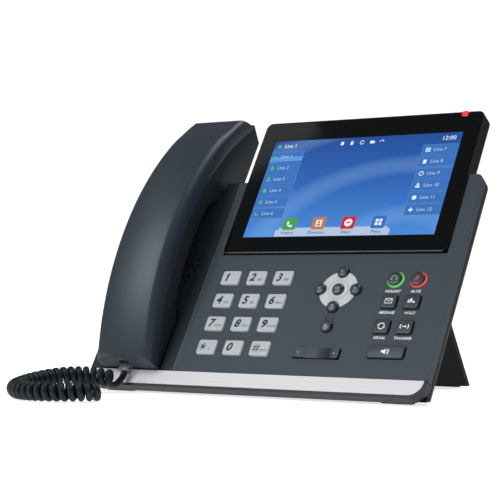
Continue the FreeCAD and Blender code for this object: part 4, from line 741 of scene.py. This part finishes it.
on_screen("screen_signs", SCREEN_WHITE, SIGN_LAYER, signs + placed(STATUS, 0, STATUS_V))
green_signs = placed(SQUARE, SCREEN_LEFT + SIGN_IN, STATUS_V)
for sign, v in zip((CALL, PERSON, PERSON, CARD, SQUARE, CALL), ROWS):
    green_signs += placed(sign, SCREEN_LEFT + SIGN_IN, v)
on_screen("screen_green_signs", SCREEN_GREEN, SIGN_LAYER, green_signs)

APP_U, APP_STEP, APP_V, APP_NAME_V, APP_NAME_SIZE = -5, 24, DOCK_V + 7.0, DOCK_V - 0.9, 3.5
TILE = [("box", 0, 0, 10.6, 9.4), ("box", 0, 0, 9.6, 10.4)]
BIG_CALL = [("arc", 0.6, 0.6, 2.6, 1.2, 170, 280), ("disc", -1.8, 1, 1.1), ("disc", 1.2, -1.9, 1.1)]
BOOK, BOOK_COLOR = [("box", 0, 0, 5.0, 5.6)], (0.52, 0.20, 0.06)
BOOK_CUT = [("disc", 0, 0.9, 1.1), ("box", 0, -1.3, 3.2, 1.4)]
STOP, STOP_COLOR = [("disc", 0, 0, 3.2)], (0.60, 0.02, 0.04)
STOP_CUT = [("box", 0, 0, 3.6, 1.0)]
FOUR_TILES = [("box", across, up, 2.3, 2.3) for across in (-1.5, 1.5) for up in (-1.5, 1.5)]
APPS = [("History", (0.06, 0.36, 0.06), BIG_CALL), ("Directory", BOOK_COLOR, BOOK),
        ("Silent", STOP_COLOR, STOP), ("Menu", (0.03, 0.17, 0.52), FOUR_TILES)]
app_words = []
app_signs = []
for step, (text, color, sign) in enumerate(APPS):
    u = APP_U + APP_STEP * step
    on_screen(f"app_tile_{text.lower()}", lit_figure(f"app_{text.lower()}", color), CHOSEN_LAYER,
              placed(TILE, u, APP_V))
    app_words.append(("words", text, u, APP_NAME_V, APP_NAME_SIZE, 0.0, "CENTER", 0.0))
    app_signs += placed(sign, u, APP_V)
on_screen("app_words", SCREEN_INK, NAME_LAYER, app_words)
on_screen("app_signs", SCREEN_WHITE, APP_LAYER, app_signs)
on_screen("app_cut_book", lit_figure("app_book_sign", BOOK_COLOR), CUT_LAYER,
          placed(BOOK_CUT, APP_U + APP_STEP, APP_V))
on_screen("app_cut_bar", lit_figure("app_bar_sign", STOP_COLOR), CUT_LAYER,
          placed(STOP_CUT, APP_U + 2 * APP_STEP, APP_V))


# Details of the handset's inner face and of the back

SKIN = 0.06
HOLE_RADIUS, HOLE_SIDES, HOLE_REACH = 1.1, 12, 6.5
ear_holes = [("disc", HANDSET_U, EAR_V, HOLE_RADIUS, HOLE_SIDES)]
for step in range(6):
    turn = math.radians(60 * step)
    ear_holes.append(("disc", HANDSET_U + HOLE_REACH * math.cos(turn), EAR_V + HOLE_REACH * math.sin(turn),
                      HOLE_RADIUS, HOLE_SIDES))
mark("ear_holes", INK, "handset", EAR_FLOOR - SKIN, ear_holes, SKIN)
SLOT_STEP, SLOT_WIDE, SLOT_TALL = 4, 1.2, 6
mark("mouth_slots", INK, "handset", MOUTH_FLOOR - SKIN,
     [("box", HANDSET_U + SLOT_STEP * step, MOUTH_V, SLOT_WIDE, SLOT_TALL) for step in (-1, 0, 1)], SKIN)
VENT_U, VENT_V, VENT_STEP, VENT_COUNT, VENT_WIDE, VENT_TALL = -78, 128, 12, 14, 3.2, 22
mark("vent_slots", INK, "base", BACK - SKIN,
     [("box", VENT_U + VENT_STEP * step, VENT_V, VENT_WIDE, VENT_TALL) for step in range(VENT_COUNT)],
     SKIN)
SCREW_U, SCREW_ROWS, CROSS_LONG, CROSS_THICK = 114, (44, 100), 3.4, 0.7
SCREW_CROSS = [("box", 0, 0, CROSS_LONG, CROSS_THICK), ("box", 0, 0, CROSS_THICK, CROSS_LONG)]
screw_marks = []
for u in (-SCREW_U, SCREW_U):
    for v in SCREW_ROWS:
        screw_marks += placed(SCREW_CROSS, u, v)
mark("screw_crosses", INK, "base", BACK - SKIN, screw_marks, SKIN)


# Gold contacts in the jacks

CONTACT_LONG, CONTACT_THICK, CONTACT_PITCH, CONTACT_Y, CONTACT_ROUND = 9.4, 0.35, 1.0, -9.5, 0.1
CONTACT_SLOPE = math.radians(-16.7)


def contact_row(name, x, roof, count):
    """A row of sprung gold contacts that hang down from the roof of a jack's mouth, at their inner end."""
    deselect()
    wires = []
    for step in range(count):
        place = (x + (step - (count - 1) / 2) * CONTACT_PITCH, CONTACT_Y,
                 roof + CONTACT_LONG / 2 * math.sin(CONTACT_SLOPE))
        bpy.ops.mesh.primitive_cube_add(size=1, location=Vector(place) * MM, rotation=(CONTACT_SLOPE, 0, 0))
        wire = bpy.context.object
        wire.scale = (CONTACT_THICK * MM, CONTACT_LONG * MM, CONTACT_THICK * MM)
        wires.append(wire)
    for wire in wires:
        wire.select_set(True)
    bpy.ops.object.transform_apply(location=True, rotation=True, scale=True)
    bpy.ops.object.join()
    row = bpy.context.object
    row.name = name
    rounded = row.modifiers.new("rounded", "BEVEL")
    rounded.width = CONTACT_ROUND * MM
    bpy.ops.object.modifier_apply(modifier=rounded.name)
    row.data.materials.append(GOLD)
    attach(row, "base")


NETWORK_ROOF, HEADSET_ROOF = 34.2, 33.2
contact_row("network_contacts", 4, NETWORK_ROOF, 8)
contact_row("computer_contacts", 24, NETWORK_ROOF, 8)
contact_row("headset_contacts", -76, HEADSET_ROOF, 4)


# Cord

CORD_RADIUS, CURL_RADIUS = 2.35, 4.3
LOOP, LOOP_RADIUS, LOOP_START, LOOP_SWEEP = Vector((-97.5, -145.5, 0)), 40, 92, 238
CURLS, STEPS_PER_CURL, FIRST_TURN = 31, 24, -1 / 8
COIL_LIFT, LIFT_AT, LIFT_RISE, LIFT_FALL = 5.8, 0.14, 0.30, 0.40
OPENING, OPENING_SHARE = 3.5, 0.1
PLUG_V, PLUG_W, TAIL_DROP, LEAD_OUT = 7.5, 5, 4.8, 14
CURLY_FINENESS, LEAD_FINENESS, NUDGE = 2, 9, 1e-3
TUBE_SMOOTH = math.radians(60)


def curl_place(turn):
    """A place of the curly cord's wire, some turns along its loop on the desk, in millimetres.

    The loop opens a little towards the plug, and rises where the straight lead passes under it.
    """
    share = turn / CURLS
    angle = math.radians(LOOP_START + LOOP_SWEEP * share)
    outward = Vector((math.cos(angle), math.sin(angle), 0))
    radius = LOOP_RADIUS + OPENING * max(0, 1 - share / OPENING_SHARE) ** 2
    away = min(1, abs(share - LIFT_AT) / (LIFT_RISE if share < LIFT_AT else LIFT_FALL))
    height = CURL_RADIUS + CORD_RADIUS + COIL_LIFT * math.cos(math.pi / 2 * away) ** 2
    swing = 2 * math.pi * turn
    return (LOOP + outward * (radius - CURL_RADIUS * math.sin(swing))
            + Vector((0, 0, height - CURL_RADIUS * math.cos(swing))))


def cord_tube(name, route, finish, fineness):
    """A tube along a smooth spline that a route in metres guides, and the points that it follows."""
    line = bpy.data.curves.new(name, "CURVE")
    line.dimensions = "3D"
    spline = line.splines.new("NURBS")
    spline.points.add(len(route) - 1)
    for point, place in zip(spline.points, route):
        point.co = (*place, 1)
    spline.order_u = 3
    spline.use_endpoint_u = True
    spline.resolution_u = fineness
    cord = bpy.data.objects.new(name, line)
    bpy.context.scene.collection.objects.link(cord)
    bpy.context.view_layer.update()
    sampled = bpy.data.meshes.new_from_object(cord)
    path = [corner.co.copy() for corner in sampled.vertices]
    line.bevel_depth = CORD_RADIUS * MM
    line.bevel_resolution = 3
    line.use_fill_caps = True
    pick(cord)
    bpy.ops.object.convert(target="MESH")
    tube = bpy.context.object
    bpy.ops.object.shade_smooth_by_angle(angle=TUBE_SMOOTH)
    tube.data.materials.clear()
    tube.data.materials.append(finish)
    return tube, path


plug_end = on_face(HANDSET_U, PLUG_V, PLUG_W)
down = (on_face(HANDSET_U, PLUG_V - 1, PLUG_W) - plug_end).normalized()
curl_route = [plug_end, plug_end + down * TAIL_DROP / 2 * MM, plug_end + down * TAIL_DROP * MM]
steps = int(STEPS_PER_CURL * (CURLS - FIRST_TURN))
curl_route += [curl_place(step / STEPS_PER_CURL + FIRST_TURN) * MM for step in range(steps)]
last = curl_place(CURLS)
leaving = (curl_place(CURLS + NUDGE) - curl_place(CURLS - NUDGE)).normalized()
curl_end = last + leaving * 2 * CORD_RADIUS
curl_route += [last * MM, curl_end * MM]
curly, curly_path = cord_tube("curly_cord", curl_route, CORD, CURLY_FINENESS)
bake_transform(curly)
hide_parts("handset_cord")

# The straight lead's way over the desk, round the left side and up to its jack at the back
LEAD_ROUTE = [
    (-84, -144, CORD_RADIUS), (-104, -123, CORD_RADIUS), (-124, -104, CORD_RADIUS),
    (-142, -84, CORD_RADIUS), (-152, -59, CORD_RADIUS), (-152, -33, CORD_RADIUS),
    (-149, -5, CORD_RADIUS), (-150, 21, CORD_RADIUS), (-143, 45, CORD_RADIUS),
    (-124, 60, 5), (-104, 54, 14), (-98, 34, 25), (-98, 15.3, 30), (-98, 1.3, 30),
]
lead_route = [curl_end * MM, (curl_end + leaving * LEAD_OUT) * MM]
lead_route += [Vector(place) * MM for place in LEAD_ROUTE]
lead, lead_path = cord_tube("straight_lead", lead_route, CORD, LEAD_FINENESS)
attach(lead, "base")
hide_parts("cord_lead")


# Floor, light and camera

FLOOR_SIZE, FLOOR_DROP = 8, 0.0004
SKY_LIGHT, SKY_SEEN = 0.16, 1.05
deselect()
bpy.ops.mesh.primitive_plane_add(size=FLOOR_SIZE, location=(0, 0, -FLOOR_DROP))
floor = bpy.context.object
floor.name = "studio_floor"
PAPER = tune(plastic("studio_paper", (0.80, 0.80, 0.81), 0.9, 60.0, 0.01, 0.01),
             {"Emission Color": (1, 1, 1, 1), "Emission Strength": 0.72, "Specular IOR Level": 0.1})
floor.data.materials.append(PAPER)


def soft_light(name, place, target, size, power):
    """A square area light that looks at a place."""
    bpy.ops.object.light_add(type="AREA", location=place)
    lamp = bpy.context.object
    lamp.name = name
    lamp.data.size = size
    lamp.data.energy = power
    lamp.rotation_euler = (Vector(target) - Vector(place)).to_track_quat("-Z", "Y").to_euler()


soft_light("key_light", (-0.78, -1.45, 1.32), (-0.05, 0, 0.1), 1.0, 22)
soft_light("glass_glare", (-0.84, -0.24, 1.16), (-0.06, 0.03, 0.19), 0.32, 0.25)
bpy.ops.object.light_add(type="SUN", location=(0, 0, 2))
overhead = bpy.context.object
overhead.name = "overhead_light"
overhead.data.energy = 1.3
overhead.data.angle = math.radians(34)
overhead.rotation_euler = (math.radians(-20), math.radians(16), 0)
world = bpy.data.worlds.new("studio")
world.use_nodes = True
sky = world.node_tree
rays = sky.nodes.new("ShaderNodeLightPath")
strength = sky.nodes.new("ShaderNodeMapRange")
strength.inputs["To Min"].default_value = SKY_LIGHT
strength.inputs["To Max"].default_value = SKY_SEEN
sky.links.new(rays.outputs["Is Camera Ray"], strength.inputs["Value"])
sky.nodes["Background"].inputs["Color"].default_value = (1, 1, 1, 1)
sky.links.new(strength.outputs["Result"], sky.nodes["Background"].inputs["Strength"])
bpy.context.scene.world = world
bpy.context.scene.view_settings.view_transform = "Standard"

# The camera's place and lens, fitted to the photo
bpy.ops.object.camera_add()
camera = bpy.context.object
camera.data.sensor_width = 36
camera.data.lens = 113.26
camera.data.clip_end = 20
camera.matrix_world = Matrix(((0.83772, 0.00934, 0.54602, 0.58681), (0.54610, -0.01433, -0.83760, -0.97814),
                              (0, 0.99985, -0.01710, 0.08182), (0, 0, 0, 1)))
bpy.context.scene.camera = camera
